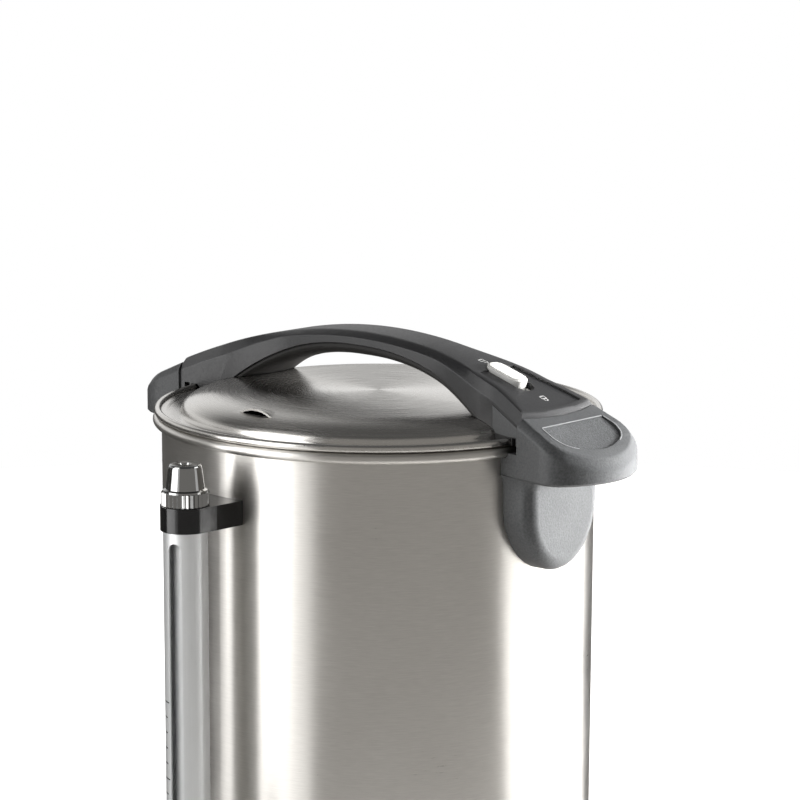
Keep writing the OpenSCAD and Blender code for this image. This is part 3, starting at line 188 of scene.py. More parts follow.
class UrnDetail(PropertyGroup):
    """Sizes of the fine shapes."""

    edge: length("Edge radius", "Rounding of the moulded pieces' edges", 0.35)
    edge_steps: IntProperty(name="Edge steps", description="Faces across a rounded edge", min=1, default=3)
    rim_bead: length("Rim bead", "Section radius of the body's rolled rim", 2.6)
    lid_bead: length("Lid bead", "Section radius of the lid's rolled edge", 1.9)
    polish: length("Polish", "Height of the polished skin on the rolled edges", 0.03)
    finger_cut: length("Finger cut", "Taken off each flat of the lever's finger", 0.2)
    full_level: FloatProperty(name="Full level", description="Share of the gauge's height that is marked",
                              default=58, subtype="PERCENTAGE")
    first_mark: length("First mark", "Height above the guard's lower end", 12)
    mark_height: length("Mark height", "Thickness of a mark's line", 0.6)
    short_mark: angle("Short mark", "Half of a mark, round the guard", math.radians(14))
    long_mark: angle("Long mark", "Half of a longer mark, round the guard", math.radians(24))
    mark_turn: angle("Mark turn", "Middle of the marks, round the guard", math.radians(-32))
    pad_middle: length("Pad place", "Middle of a thumb pad, from the urn's axis", 143)
    ridge_end: length("Ridge end", "How far from the urn's axis the ridges run", 149)
    ridge: length("Ridge width", "Fine ridge beside the thumb pads", 0.6)
    ridge_rise: length("Ridge height", "Fine ridge beside the thumb pads", 0.15)
    grit: length("Grit layer", "Thickness of the gritty layer in the thumb pads", 0.06)
    plate: length("Plate thickness", "Grey plates on the lid handle's lock end", 0.25)
    sign: length("Sign size", "Length of a printed padlock", 4.8)
    locked_sign: length("Locked sign", "Place of the closed padlock, from the urn's axis", 113.4)
    open_sign: length("Open sign", "Place of the open padlock, from the urn's axis", 72.5)
    tick: length("Tick spacing", "Distance between the gauge's marks", 8.0)
    ink: length("Ink", "Thickness of the print", 0.05)


def add(tree, kind, inputs=None, **settings):
    """Adds a node with its settings; an input is a number, a colour or another node's output."""
    node = tree.nodes.new(kind)
    for name, value in settings.items():
        setattr(node, name, value)
    for name, value in (inputs or {}).items():
        if isinstance(value, bpy.types.NodeSocket):
            tree.links.new(value, node.inputs[name])
        else:
            node.inputs[name].default_value = value
    return node


def start_material(name, **sockets):
    """An empty material with one surface shader; returns it with its tree, shader and Object coordinates."""
    material = bpy.data.materials.new(name)
    material.use_nodes = True
    tree = material.node_tree
    tree.nodes.clear()
    shader = add(tree, "ShaderNodeBsdfPrincipled", {k.replace("_", " "): v for k, v in sockets.items()})
    add(tree, "ShaderNodeOutputMaterial", {"Surface": shader.outputs["BSDF"]})
    coords = add(tree, "ShaderNodeTexCoord").outputs["Object"]
    return material, tree, shader, coords


def feed(tree, shader, **sources):
    """Links nodes' outputs to the shader's sockets."""
    for name, source in sources.items():
        tree.links.new(source, shader.inputs[name.replace("_", " ")])


def brushed_stainless(finish):
    """Stainless sheet brushed round the body: fine level lines that draw each reflection out upwards."""
    material, tree, shader, coords = start_material(
        "brushed_stainless", Metallic=1.0, Anisotropic=0.82, Anisotropic_Rotation=0.25)
    # The real grain, about 0.1 mm, is too fine to show, so it is drawn 0.45 mm high and 8 mm long
    grain = add(tree, "ShaderNodeMapping", {"Vector": coords, "Scale": (per(8), per(8), per(0.45))})
    lines = add(tree, "ShaderNodeTexNoise", {"Vector": grain.outputs["Vector"], "Scale": 1.0, "Detail": 3.0,
                                             "Roughness": 0.65})
    # Slow changes of tone where the brush pressed harder
    broad = add(tree, "ShaderNodeTexNoise", {"Vector": coords, "Scale": per(60), "Detail": 2.0})
    tone = add(tree, "ShaderNodeMix", {0: lines.outputs["Fac"], 6: rgba([0.74 * c for c in finish.steel]),
                                       7: rgba(finish.steel)}, data_type="RGBA")
    blur = add(tree, "ShaderNodeMath", {0: lines.outputs["Fac"], 1: broad.outputs["Fac"]}, operation="ADD")
    rough = add(tree, "ShaderNodeMapRange", {"Value": blur.outputs["Value"], "From Min": 0.6, "From Max": 1.4,
                                             "To Min": 0.27, "To Max": 0.37})
    bump = add(tree, "ShaderNodeBump", {"Height": lines.outputs["Fac"], "Strength": 0.25,
                                        "Distance": 0.03 * MM})
    feed(tree, shader, Base_Color=tone.outputs[2], Roughness=rough.outputs["Result"],
         Normal=bump.outputs["Normal"])
    return material


def spun_stainless(finish):
    """Stainless lid brushed on a turntable: rings about the centre that fan each reflection out."""
    material, tree, shader, coords = start_material(
        "spun_stainless", Metallic=1.0, Anisotropic=0.85, Anisotropic_Rotation=0.25)
    flat = add(tree, "ShaderNodeVectorMath", {0: coords, 1: (1, 1, 0)}, operation="MULTIPLY")
    reach = add(tree, "ShaderNodeVectorMath", {0: flat.outputs["Vector"]}, operation="LENGTH")
    turn = add(tree, "ShaderNodeTexGradient", {"Vector": coords}, gradient_type="RADIAL")
    place = add(tree, "ShaderNodeCombineXYZ", {"X": reach.outputs["Value"], "Y": turn.outputs["Fac"]})
    # Rings are drawn 0.9 mm apart, coarser than the real 0.1 mm, with nine lengths round the lid
    rings = add(tree, "ShaderNodeMapping", {"Vector": place.outputs["Vector"], "Scale": (per(0.9), 9, 1)})
    lines = add(tree, "ShaderNodeTexNoise", {"Vector": rings.outputs["Vector"], "Scale": 1.0, "Detail": 3.0,
                                             "Roughness": 0.65})
    tone = add(tree, "ShaderNodeMix", {0: lines.outputs["Fac"], 6: rgba([0.66 * c for c in finish.steel]),
                                       7: rgba(finish.steel)}, data_type="RGBA")
    rough = add(tree, "ShaderNodeMapRange", {"Value": lines.outputs["Fac"], "From Min": 0.3, "From Max": 0.7,
                                             "To Min": 0.19, "To Max": 0.31})
    bump = add(tree, "ShaderNodeBump", {"Height": lines.outputs["Fac"], "Strength": 0.3,
                                        "Distance": 0.03 * MM})
    feed(tree, shader, Base_Color=tone.outputs[2], Roughness=rough.outputs["Result"],
         Normal=bump.outputs["Normal"])
    return material


def pressed_stainless(finish):
    """Plain mill-finish stainless of pressed and turned pieces: cloudy, soft reflections."""
    material, tree, shader, coords = start_material(
        "pressed_stainless", Metallic=1.0, Base_Color=rgba([0.92 * c for c in finish.steel]))
    cloud = add(tree, "ShaderNodeTexNoise", {"Vector": coords, "Scale": per(6), "Detail": 4.0})
    rough = add(tree, "ShaderNodeMapRange", {"Value": cloud.outputs["Fac"], "From Min": 0.3, "From Max": 0.7,
                                             "To Min": 0.24, "To Max": 0.4})
    feed(tree, shader, Roughness=rough.outputs["Result"])
    return material


def chrome_plate(finish):
    """Bright chrome plating: a near mirror with faint smears."""
    material, tree, shader, coords = start_material("chrome_plate", Metallic=1.0,
                                                    Base_Color=rgba(finish.chrome))
    smear = add(tree, "ShaderNodeTexNoise", {"Vector": coords, "Scale": per(5), "Detail": 3.0})
    rough = add(tree, "ShaderNodeMapRange", {"Value": smear.outputs["Fac"], "From Min": 0.35, "From Max": 0.7,
                                             "To Min": 0.05, "To Max": 0.13})
    feed(tree, shader, Roughness=rough.outputs["Result"])
    return material


def satin_aluminium(finish):
    """Drawn and anodised aluminium tube: satin, with faint draw lines along it."""
    material, tree, shader, coords = start_material("satin_aluminium", Metallic=0.4)
    # Real draw lines are finer; they are drawn 0.5 mm wide to show
    drawn = add(tree, "ShaderNodeMapping", {"Vector": coords, "Scale": (per(0.5), per(0.5), per(90))})
    lines = add(tree, "ShaderNodeTexNoise", {"Vector": drawn.outputs["Vector"], "Scale": 1.0, "Detail": 2.0})
    tone = add(tree, "ShaderNodeMix", {0: lines.outputs["Fac"], 6: rgba([0.9 * c for c in finish.guard]),
                                       7: rgba(finish.guard)}, data_type="RGBA")
    rough = add(tree, "ShaderNodeMapRange", {"Value": lines.outputs["Fac"], "From Min": 0.3, "From Max": 0.7,
                                             "To Min": 0.36, "To Max": 0.46})
    feed(tree, shader, Base_Color=tone.outputs[2], Roughness=rough.outputs["Result"])
    return material


def moulded(name, base, grit_mm, depth_mm, roughness, gloss=0.5, spread=0.08):
    """Injection-moulded plastic from a spark-eroded mould: an even fine grit that breaks up the gloss."""
    material, tree, shader, coords = start_material(name, IOR=1.5, Specular_IOR_Level=gloss)
    # Real grit is 0.1 to 0.3 mm wide, too fine to show, so it is drawn coarser
    grit = add(tree, "ShaderNodeTexNoise", {"Vector": coords, "Scale": per(grit_mm), "Detail": 2.0,
                                            "Roughness": 0.6})
    # Clouds 18 mm wide show weakly under the grit, and most of the sum lies between 0.42 and 0.88
    cloud = add(tree, "ShaderNodeTexNoise", {"Vector": coords, "Scale": per(18), "Detail": 2.0})
    blend = add(tree, "ShaderNodeMath", {0: cloud.outputs["Fac"], 1: 0.3, 2: grit.outputs["Fac"]},
                operation="MULTIPLY_ADD")
    share = add(tree, "ShaderNodeMapRange", {"Value": blend.outputs["Value"], "From Min": 0.42,
                                             "From Max": 0.88})
    tone = add(tree, "ShaderNodeMix", {0: share.outputs["Result"], 6: rgba([(1 - spread) * c for c in base]),
                                       7: rgba([min(1.0, (1 + spread) * c) for c in base])}, data_type="RGBA")
    rough = add(tree, "ShaderNodeMapRange", {"Value": grit.outputs["Fac"], "From Min": 0.3, "From Max": 0.7,
                                             "To Min": roughness[0], "To Max": roughness[1]})
    bump = add(tree, "ShaderNodeBump", {"Height": grit.outputs["Fac"], "Strength": 0.5,
                                        "Distance": depth_mm * MM})
    feed(tree, shader, Base_Color=tone.outputs[2], Roughness=rough.outputs["Result"],
         Normal=bump.outputs["Normal"])
    return material


def charcoal_abs(finish):
    """Charcoal ABS of the lid handle's cover, with a fine eroded grit."""
    return moulded("charcoal_abs", finish.charcoal, grit_mm=0.9, depth_mm=0.12,
                   roughness=(0.36, 0.5), gloss=0.5, spread=0.25)


def grip_rubber(finish):
    """Soft-touch moulding of the grip: dark, nearly smooth, dull."""
    return moulded("grip_soft_touch", finish.grip, grit_mm=0.9, depth_mm=0.03,
                   roughness=(0.46, 0.56), gloss=0.1, spread=0.15)


def handle_pp(finish):
    """Mid-grey polypropylene of the side handles, with a coarser sparkling grit."""
    return moulded("handle_polypropylene", finish.handle, grit_mm=1.1, depth_mm=0.2,
                   roughness=(0.42, 0.58), gloss=0.4, spread=0.3)


def plate_painted_sheen(finish):
    """Paler polypropylene of the knee plates, smoother than the handles: the paler tone is a painted sheen,
    standing in for light that falls on the lid handle's lock end.
    """
    return moulded("plate_polypropylene", finish.plate, grit_mm=0.9, depth_mm=0.08,
                   roughness=(0.42, 0.55), gloss=0.4, spread=0.2)


def ridge_painted_highlight(finish):
    """Polypropylene of the fine ridges, pale and smooth: the pale tone is a painted highlight, standing in
    for light that catches the pads' edges.
    """
    return moulded("burnished_polypropylene", finish.ridge, grit_mm=0.9, depth_mm=0.01,
                   roughness=(0.3, 0.42), gloss=0.5, spread=0.1)


def pad_grit(finish):
    """The same polypropylene where the mould is eroded coarsely: a grainy patch that doesn't slip."""
    return moulded("pad_polypropylene", finish.pad, grit_mm=0.8, depth_mm=0.5,
                   roughness=(0.55, 0.75), gloss=0.35, spread=0.5)


def black_pp(finish):
    """Black polypropylene of the base, satin with a fine grit."""
    return moulded("black_polypropylene", finish.black, grit_mm=0.8, depth_mm=0.06,
                   roughness=(0.38, 0.52), gloss=0.5, spread=0.25)


def gloss_abs(finish):
    """Polished black ABS of the collar, the tap and the rocker."""
    return moulded("gloss_black_abs", finish.black, grit_mm=6.0, depth_mm=0.004,
                   roughness=(0.1, 0.2))


def slider_pom(finish):
    """White acetal of the lid lock's slider: smooth, a little waxy."""
    return moulded("white_acetal", finish.slider, grit_mm=3.0, depth_mm=0.004,
                   roughness=(0.3, 0.38))


def silicone_rubber(finish):
    """Pale food-grade silicone of seals and washers."""
    return moulded("silicone_rubber", finish.silicone, grit_mm=1.2, depth_mm=0.02,
                   roughness=(0.5, 0.65))


def foot_rubber(finish):
    """Black rubber of the feet."""
    return moulded("foot_rubber", [0.5 * c for c in finish.black], grit_mm=0.9, depth_mm=0.05,
                   roughness=(0.7, 0.85))


def wire_jacket(finish):
    """Red-brown silicone jacket of the wires."""
    return moulded("wire_jacket", finish.wire, grit_mm=0.8, depth_mm=0.02,
                   roughness=(0.5, 0.6))


def machined_brass(finish):
    """Plain brass of the inlet's pins and the fuse."""
    material, tree, shader, coords = start_material("machined_brass", Metallic=1.0,
                                                    Base_Color=rgba(finish.brass))
    cloud = add(tree, "ShaderNodeTexNoise", {"Vector": coords, "Scale": per(2), "Detail": 3.0})
    rough = add(tree, "ShaderNodeMapRange", {"Value": cloud.outputs["Fac"], "From Min": 0.3, "From Max": 0.7,
                                             "To Min": 0.2, "To Max": 0.36})
    feed(tree, shader, Roughness=rough.outputs["Result"])
    return material


def gauge_glass(finish):
    """Borosilicate tube of the sight gauge, clouded by use so that it shows grey in its window."""
    material, tree, shader, coords = start_material("borosilicate_glass", IOR=1.47, Transmission_Weight=0.1,
                                                    Base_Color=rgba(finish.glass))
    film = add(tree, "ShaderNodeTexNoise", {"Vector": coords, "Scale": per(9), "Detail": 2.0})
    rough = add(tree, "ShaderNodeMapRange", {"Value": film.outputs["Fac"], "From Min": 0.3, "From Max": 0.7,
                                             "To Min": 0.12, "To Max": 0.25})
    feed(tree, shader, Roughness=rough.outputs["Result"])
    return material


def lamp_acrylic(finish):
    """Red acrylic lens with a faint cross-ribbed pattern inside."""
    material, tree, shader, coords = start_material("lamp_acrylic", IOR=1.49, Roughness=0.12,
                                                    Transmission_Weight=0.35)
    ribs = add(tree, "ShaderNodeTexVoronoi", {"Vector": coords, "Scale": per(0.9)})
    tone = add(tree, "ShaderNodeMix", {0: ribs.outputs["Distance"], 6: rgba(finish.lamp),
                                       7: rgba([0.6 * c for c in finish.lamp])}, data_type="RGBA")
    feed(tree, shader, Base_Color=tone.outputs[2])
    return material


def pad_print(finish):
    """Pale pad-printed ink of the signs."""
    return moulded("pad_print_ink", finish.print, grit_mm=0.6, depth_mm=0.004,
                   roughness=(0.4, 0.5))


def mark_ink(finish):
    """Dark printed ink of the gauge's marks."""
    return moulded("dark_print_ink", finish.black, grit_mm=0.6, depth_mm=0.004,
                   roughness=(0.4, 0.5))


def material_of(make, context):
    """The material that a function makes, made once."""
    if make.__name__ not in MADE:
        MADE[make.__name__] = make(context.scene.urn_finish)
    return MADE[make.__name__]


def paint(node, material):
    """Gives a solid of the frame a finished material."""
    NODES[node].material_slots[0].material = material


def new_piece(name, bm, body, material, slot, *replaced):
    """Makes a finished piece of a bmesh, rides it on a body and hides the solids it stands for."""
    mesh = bpy.data.meshes.new(name)
    bm.to_mesh(mesh)
    bm.free()
    mesh.materials.append(material)
    piece = bpy.data.objects.new(name, mesh)
    bpy.context.scene.collection.objects.link(piece)
    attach(piece, body)
    if replaced:
        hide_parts(*replaced)
    return piece


def merged(node):
    """A bmesh of a solid of the frame with its triangles joined and its flats made whole."""
    bm = bmesh.new()
    bm.from_mesh(NODES[node].data)
    bmesh.ops.remove_doubles(bm, verts=bm.verts, dist=WELD)
    bmesh.ops.dissolve_limit(bm, angle_limit=FLAT, verts=bm.verts, edges=bm.edges)
    return bm


def surface_of(node):
    """The outside of a solid of the frame, for rays to land on."""
    solid = merged(node)
    surface = BVHTree.FromBMesh(solid)
    solid.free()
    return surface


def soften(bm, detail, least_turn=40):
    """Rounds the outer edges that turn by more than some degrees."""
    sharp = [e for e in bm.edges if e.is_convex and e.calc_face_angle(0) > math.radians(least_turn)]
    bmesh.ops.bevel(bm, geom=sharp, offset=detail.edge, offset_type="OFFSET", segments=detail.edge_steps,
                    profile=0.5, affect="EDGES", clamp_overlap=True, material=-1)


def thicken(bm, face, step):
    """Makes a closed slab of a lone face."""
    grown = bmesh.ops.extrude_face_region(bm, geom=[face])["geom"]
    bmesh.ops.translate(bm, verts=[v for v in grown if isinstance(v, bmesh.types.BMVert)], vec=step)


def smooth(piece, least_turn=32):
    """Shades a piece smoothly, apart from the edges that turn by more than some degrees."""
    for face in piece.data.polygons:
        face.use_smooth = True
    piece.data.set_sharp_from_angle(angle=math.radians(least_turn))
    even = piece.modifiers.new("even_faces", "WEIGHTED_NORMAL")
    even.keep_sharp = True


def polished_bead(node, name, body, radius, skin, material, section_steps=28, turn_steps=256):
    """A smooth ring over a sheet's rolled edge, whose facets would break the reflections up."""
    far = max((v.co for v in NODES[node].data.vertices), key=lambda spot: math.hypot(spot.x, spot.y))
    middle = math.hypot(far.x, far.y) - radius
    bm = bmesh.new()
    outer = radius + skin
    turns = [2 * math.pi * i / section_steps for i in range(section_steps)]
    ring = [bm.verts.new((middle + outer * math.cos(a), 0, far.z + outer * math.sin(a))) for a in turns]
    edges = [bm.edges.new(pair) for pair in zip(ring, ring[1:] + ring[:1])]
    bmesh.ops.spin(bm, geom=ring + edges, cent=(0, 0, 0), axis=(0, 0, 1), angle=2 * math.pi,
                   steps=turn_steps, use_merge=True)
    bmesh.ops.remove_doubles(bm, verts=bm.verts, dist=WELD)
    bmesh.ops.recalc_face_normals(bm, faces=bm.faces)
    smooth(new_piece(name, bm, body, material, "brushed_steel"))


class URN_OT_stage(Operator):
    """Sets the camera, the lights, the floor and the background"""

    bl_idname = "urn.stage"
    bl_label = "Stage"

    # Angles in degrees round the urn from the camera's side, lengths in metres
    SOFTBOXES = (
        dict(name="left_softbox", setting="left_power", turn=-64, reach=1.5, height=1.0, size=(1.1, 2.2),
             aim_height=1.0, unseen_in="diffuse"),
        dict(name="right_softbox", setting="right_power", turn=112, reach=1.5, height=1.0, size=(1.5, 2.2),
             aim_height=1.0),
        dict(name="key_light", setting="key_power", turn=104, reach=1.6, height=0.4, size=(0.6, 0.6),
             aim_height=0.38, unseen_in="glossy"),
        dict(name="front_light", setting="front_power", turn=-55, reach=1.6, height=0.8, size=(0.9, 0.9),
             aim_height=0.35, unseen_in="glossy"),
        dict(name="top_softbox", setting="top_power", turn=20, reach=0.2, height=2.2, size=(1.2, 1.2),
             aim_height=0.4, unseen_in="glossy"),
    )
    WALLS = (
        dict(name="grey_wall", setting="wall", start=-33, sweep=100, top=2.6),
        dict(name="left_wall", setting="dark_wall", start=-106.5, sweep=20.5, top=0.7),
        dict(name="back_wall", setting="dark_wall", start=134, sweep=119, top=0.5),
    )
    WALL_RADIUS = 1.9
    WALL_TINT = (1, 0.97, 0.93, 1)
    SKIRT = ((0.42, 0.004), (1.7, 0.004), (1.9, 0.2))  # Radius and height, over the floor and up to the wall
    FLOOR_RADIUS = 1.8
    GLOW_START, GLOW_END = 0.2, 0.7  # Round the urn's axis, where the floor rises to full white
    CEILING_START, CEILING_END = 0.3, 0.6  # Upward share of a direction, where white turns to the ceiling

    def softbox(self, studio, name, setting, turn, reach, height, size, aim_height, unseen_in=""):
        """An area light turned round the urn; one kind of ray may pass it by."""
        light = bpy.data.lights.new(name, "AREA")
        light.shape = "RECTANGLE"
        light.energy = getattr(studio, setting)
        light.size, light.size_y = size
        lamp = bpy.data.objects.new(name, light)
        bpy.context.scene.collection.objects.link(lamp)
        around = studio.camera_turn + math.radians(turn)
        lamp.location = (reach * math.sin(around), -reach * math.cos(around), height)
        aim = Vector((0, 0, aim_height)) - lamp.location
        lamp.rotation_euler = aim.to_track_quat("-Z", "Y").to_euler()
        lamp.visible_camera = False
        lamp.visible_glossy = unseen_in != "glossy"
        lamp.visible_diffuse = unseen_in != "diffuse"

    def floor(self, finish, studio):
        """A wide plain floor, white to the eye and in reflections where the urn's shadow doesn't fall."""
        bm = bmesh.new()
        bmesh.ops.create_circle(bm, cap_ends=True, segments=96, radius=self.FLOOR_RADIUS)
        mesh = bpy.data.meshes.new("floor")
        bm.to_mesh(mesh)
        bm.free()
        material, tree, shader, coords = start_material(
            "floor_paper", Roughness=0.9, Base_Color=rgba(finish.floor), Emission_Color=(1, 1, 1, 1))
        path = add(tree, "ShaderNodeLightPath")
        reach = add(tree, "ShaderNodeVectorMath", {0: coords}, operation="LENGTH")
        glow = add(tree, "ShaderNodeMapRange",
                   {"Value": reach.outputs["Value"], "From Min": self.GLOW_START, "From Max": self.GLOW_END,
                    "To Min": studio.floor_lift, "To Max": 1.0}, interpolation_type="SMOOTHSTEP")
        seen = add(tree, "ShaderNodeMath",
                   {0: path.outputs["Is Camera Ray"], 1: path.outputs["Is Glossy Ray"]}, operation="MAXIMUM")
        lift = add(tree, "ShaderNodeMath", {0: seen.outputs["Value"], 1: glow.outputs["Result"]},
                   operation="MULTIPLY")
        tree.links.new(lift.outputs["Value"], shader.inputs["Emission Strength"])
        mesh.materials.append(material)
        floor = bpy.data.objects.new("floor", mesh)
        bpy.context.scene.collection.objects.link(floor)

    def wall(self, studio, name, setting, start, sweep, top):
        """A studio wall round part of the floor, which only shiny surfaces see."""
        bm = bmesh.new()
        turn = studio.camera_turn + math.radians(start - 90)
        outline = [*self.SKIRT, (self.WALL_RADIUS, top)]
        corners = [bm.verts.new((r * math.cos(turn), r * math.sin(turn), z)) for r, z in outline]
        edges = [bm.edges.new(pair) for pair in zip(corners, corners[1:])]
        bmesh.ops.spin(bm, geom=corners + edges, cent=(0, 0, 0), axis=(0, 0, 1),
                       angle=math.radians(sweep), steps=24)
        bmesh.ops.recalc_face_normals(bm, faces=bm.faces)
        mesh = bpy.data.meshes.new(name)
        bm.to_mesh(mesh)
        bm.free()
        material = bpy.data.materials.new(name)
        material.use_nodes = True
        tree = material.node_tree
        tree.nodes.clear()
        glow = add(tree, "ShaderNodeEmission", {"Color": self.WALL_TINT,
                                                "Strength": getattr(studio, setting)})
        add(tree, "ShaderNodeOutputMaterial", {"Surface": glow.outputs["Emission"]})
        mesh.materials.append(material)
        wall = bpy.data.objects.new(name, mesh)
        bpy.context.scene.collection.objects.link(wall)
        wall.visible_camera = wall.visible_diffuse = False
        wall.visible_shadow = wall.visible_transmission = False

    def background(self, studio):
        """White to the eye, white under a dark ceiling in reflections, a plain fill on everything else."""
        world = bpy.data.worlds.new("studio")
        bpy.context.scene.world = world
        world.use_nodes = True
        tree = world.node_tree
        tree.nodes.clear()
        path = add(tree, "ShaderNodeLightPath")
        direction = add(tree, "ShaderNodeTexCoord").outputs["Generated"]
        rise = add(tree, "ShaderNodeSeparateXYZ", {"Vector": direction}).outputs["Z"]
        walls = add(tree, "ShaderNodeMapRange",
                    {"Value": rise, "From Min": self.CEILING_START, "From Max": self.CEILING_END,
                     "To Min": 1.0, "To Max": studio.ceiling})
        share = add(tree, "ShaderNodeMix", {0: path.outputs["Is Glossy Ray"], 2: studio.fill, 3: 1.0})
        level = add(tree, "ShaderNodeMath", {0: share.outputs[0], 1: walls.outputs["Result"]},
                    operation="MULTIPLY")
        seen = add(tree, "ShaderNodeMath",
                   {0: path.outputs["Is Camera Ray"], 1: path.outputs["Is Transmission Ray"]},
                   operation="MAXIMUM")
        level = add(tree, "ShaderNodeMix", {0: seen.outputs["Value"], 2: level.outputs["Value"], 3: 1.0})
        light = add(tree, "ShaderNodeBackground", {"Color": (1, 1, 1, 1), "Strength": level.outputs[0]})
        add(tree, "ShaderNodeOutputWorld", {"Surface": light.outputs["Background"]})

    def camera(self, studio):
        """The camera at the photograph's place."""
        data = bpy.data.cameras.new("camera")
        data.sensor_width = 36
        data.lens = studio.camera_lens
        data.clip_start, data.clip_end = 0.05, 50
        camera = bpy.data.objects.new("camera", data)
        bpy.context.scene.collection.objects.link(camera)
        turn = studio.camera_turn
        reach = studio.camera_reach
        place = Matrix.Translation((reach * math.sin(turn), -reach * math.cos(turn), studio.camera_height))
        aim = Matrix.Rotation(turn - studio.camera_aside, 4, "Z")
        tilt = Matrix.Rotation(math.pi / 2 - studio.camera_tilt, 4, "X")
        roll = Matrix.Rotation(studio.camera_roll, 4, "Z")
        camera.matrix_world = place @ aim @ tilt @ roll
        bpy.context.scene.camera = camera

    def execute(self, context):
        studio = context.scene.urn_studio
        context.scene.view_settings.view_transform = "Standard"
        self.camera(studio)
        self.background(studio)
        self.floor(context.scene.urn_finish, studio)
        for wall in self.WALLS:
            self.wall(studio, **wall)
        for softbox in self.SOFTBOXES:
            self.softbox(studio, **softbox)
        return {"FINISHED"}


class URN_OT_body(Operator):
    """Dresses the steel body with its rolled rim and the tank floor"""

    bl_idname = "urn.body"
    bl_label = "Body"

    def execute(self, context):
        detail = context.scene.urn_detail
        paint("body_shell", material_of(brushed_stainless, context))
        polished_bead("body_shell", "body_bead", "urn", detail.rim_bead, detail.polish,
                      material_of(brushed_stainless, context))
        paint("tank_floor", material_of(pressed_stainless, context))
        return {"FINISHED"}


class URN_OT_lid(Operator):
    """Smooths and dresses the lid"""

    bl_idname = "urn.lid"
    bl_label = "Lid"

    def execute(self, context):
        detail = context.scene.urn_detail
        steel = material_of(spun_stainless, context)
        smooth(new_piece("lid_shell_smooth", merged("lid_shell"), "lid", steel, "brushed_steel", "lid_shell"))
        polished_bead("lid_shell", "lid_bead", "lid", detail.lid_bead, detail.polish, steel)
        for node in ("lid_screws", "grip_screws"):
            paint(node, material_of(pressed_stainless, context))
        return {"FINISHED"}


class URN_OT_lid_handle(Operator):
    """Rounds and dresses the lid handle's cover and grip"""

    bl_idname = "urn.lid_handle"
    bl_label = "Lid handle"

    def execute(self, context):
        detail = context.scene.urn_detail
        for node, make, slot in (("lid_handle", charcoal_abs, "charcoal"),
                                 ("lid_grip", grip_rubber, "black_plastic")):
            bm = merged(node)
            soften(bm, detail)
            smooth(new_piece(node + "_rounded", bm, "lid", material_of(make, context), slot, node))
        return {"FINISHED"}


class URN_OT_knee_plates(Operator):
    """Sets thin plates on the two sides of the lid handle's lock end, whose pale grey is a painted sheen of
    the light falling there
    """

    bl_idname = "urn.knee_plates"
    bl_label = "Knee plates"

    # Outline of a plate in X and Z, in millimetres, with a round upper corner at its outer end
    INNER_END = [(99.8, 402.0), (99.8, 413.2)]
    CORNER, CORNER_RADIUS, CORNER_SWEEP, CORNER_STEPS = (118.2, 402.5), 3.4, math.radians(68), 6
    LOWER_EDGE = [(121.6, 400.4), (113.0, 399.6), (103.0, 399.6)]

    def execute(self, context):
        detail = context.scene.urn_detail
        surface = surface_of("lid_handle")
        (x0, z0), radius = self.CORNER, self.CORNER_RADIUS
        turns = [self.CORNER_SWEEP * (1 - i / self.CORNER_STEPS) for i in range(self.CORNER_STEPS + 1)]
        corner = [(x0 + radius * math.cos(a), z0 + radius * math.sin(a)) for a in turns]
        outline = self.INNER_END + corner + self.LOWER_EDGE
        bm = bmesh.new()
        for side in (1, -1):
            inwards = Vector((0, -side, 0))
            spots = [surface.ray_cast(Vector((x * MM, side, z * MM)), inwards)[0] for x, z in outline]
            face = bm.faces.new([bm.verts.new(spot) for spot in spots])
            face.normal_update()
            thicken(bm, face, face.normal * math.copysign(detail.plate, face.normal.y * side))
        bmesh.ops.recalc_face_normals(bm, faces=bm.faces)
        # The plates' pale grey paints the sheen that light from the left lays on the lock end's sides
        new_piece("knee_plates", bm, "lid", material_of(plate_painted_sheen, context), "handle_grey")
        return {"FINISHED"}


class URN_OT_lid_lock(Operator):
    """Dresses the lid lock"""

    bl_idname = "urn.lid_lock"
    bl_label = "Lid lock"

    def execute(self, context):
        detail = context.scene.urn_detail
        bm = merged("lock_slider")
        soften(bm, detail)
        smooth(new_piece("lock_slider_rounded", bm, "lock", material_of(slider_pom, context), "white_plastic",
                         "lock_slider"))
        paint("latch_bolt", material_of(pressed_stainless, context))
        return {"FINISHED"}


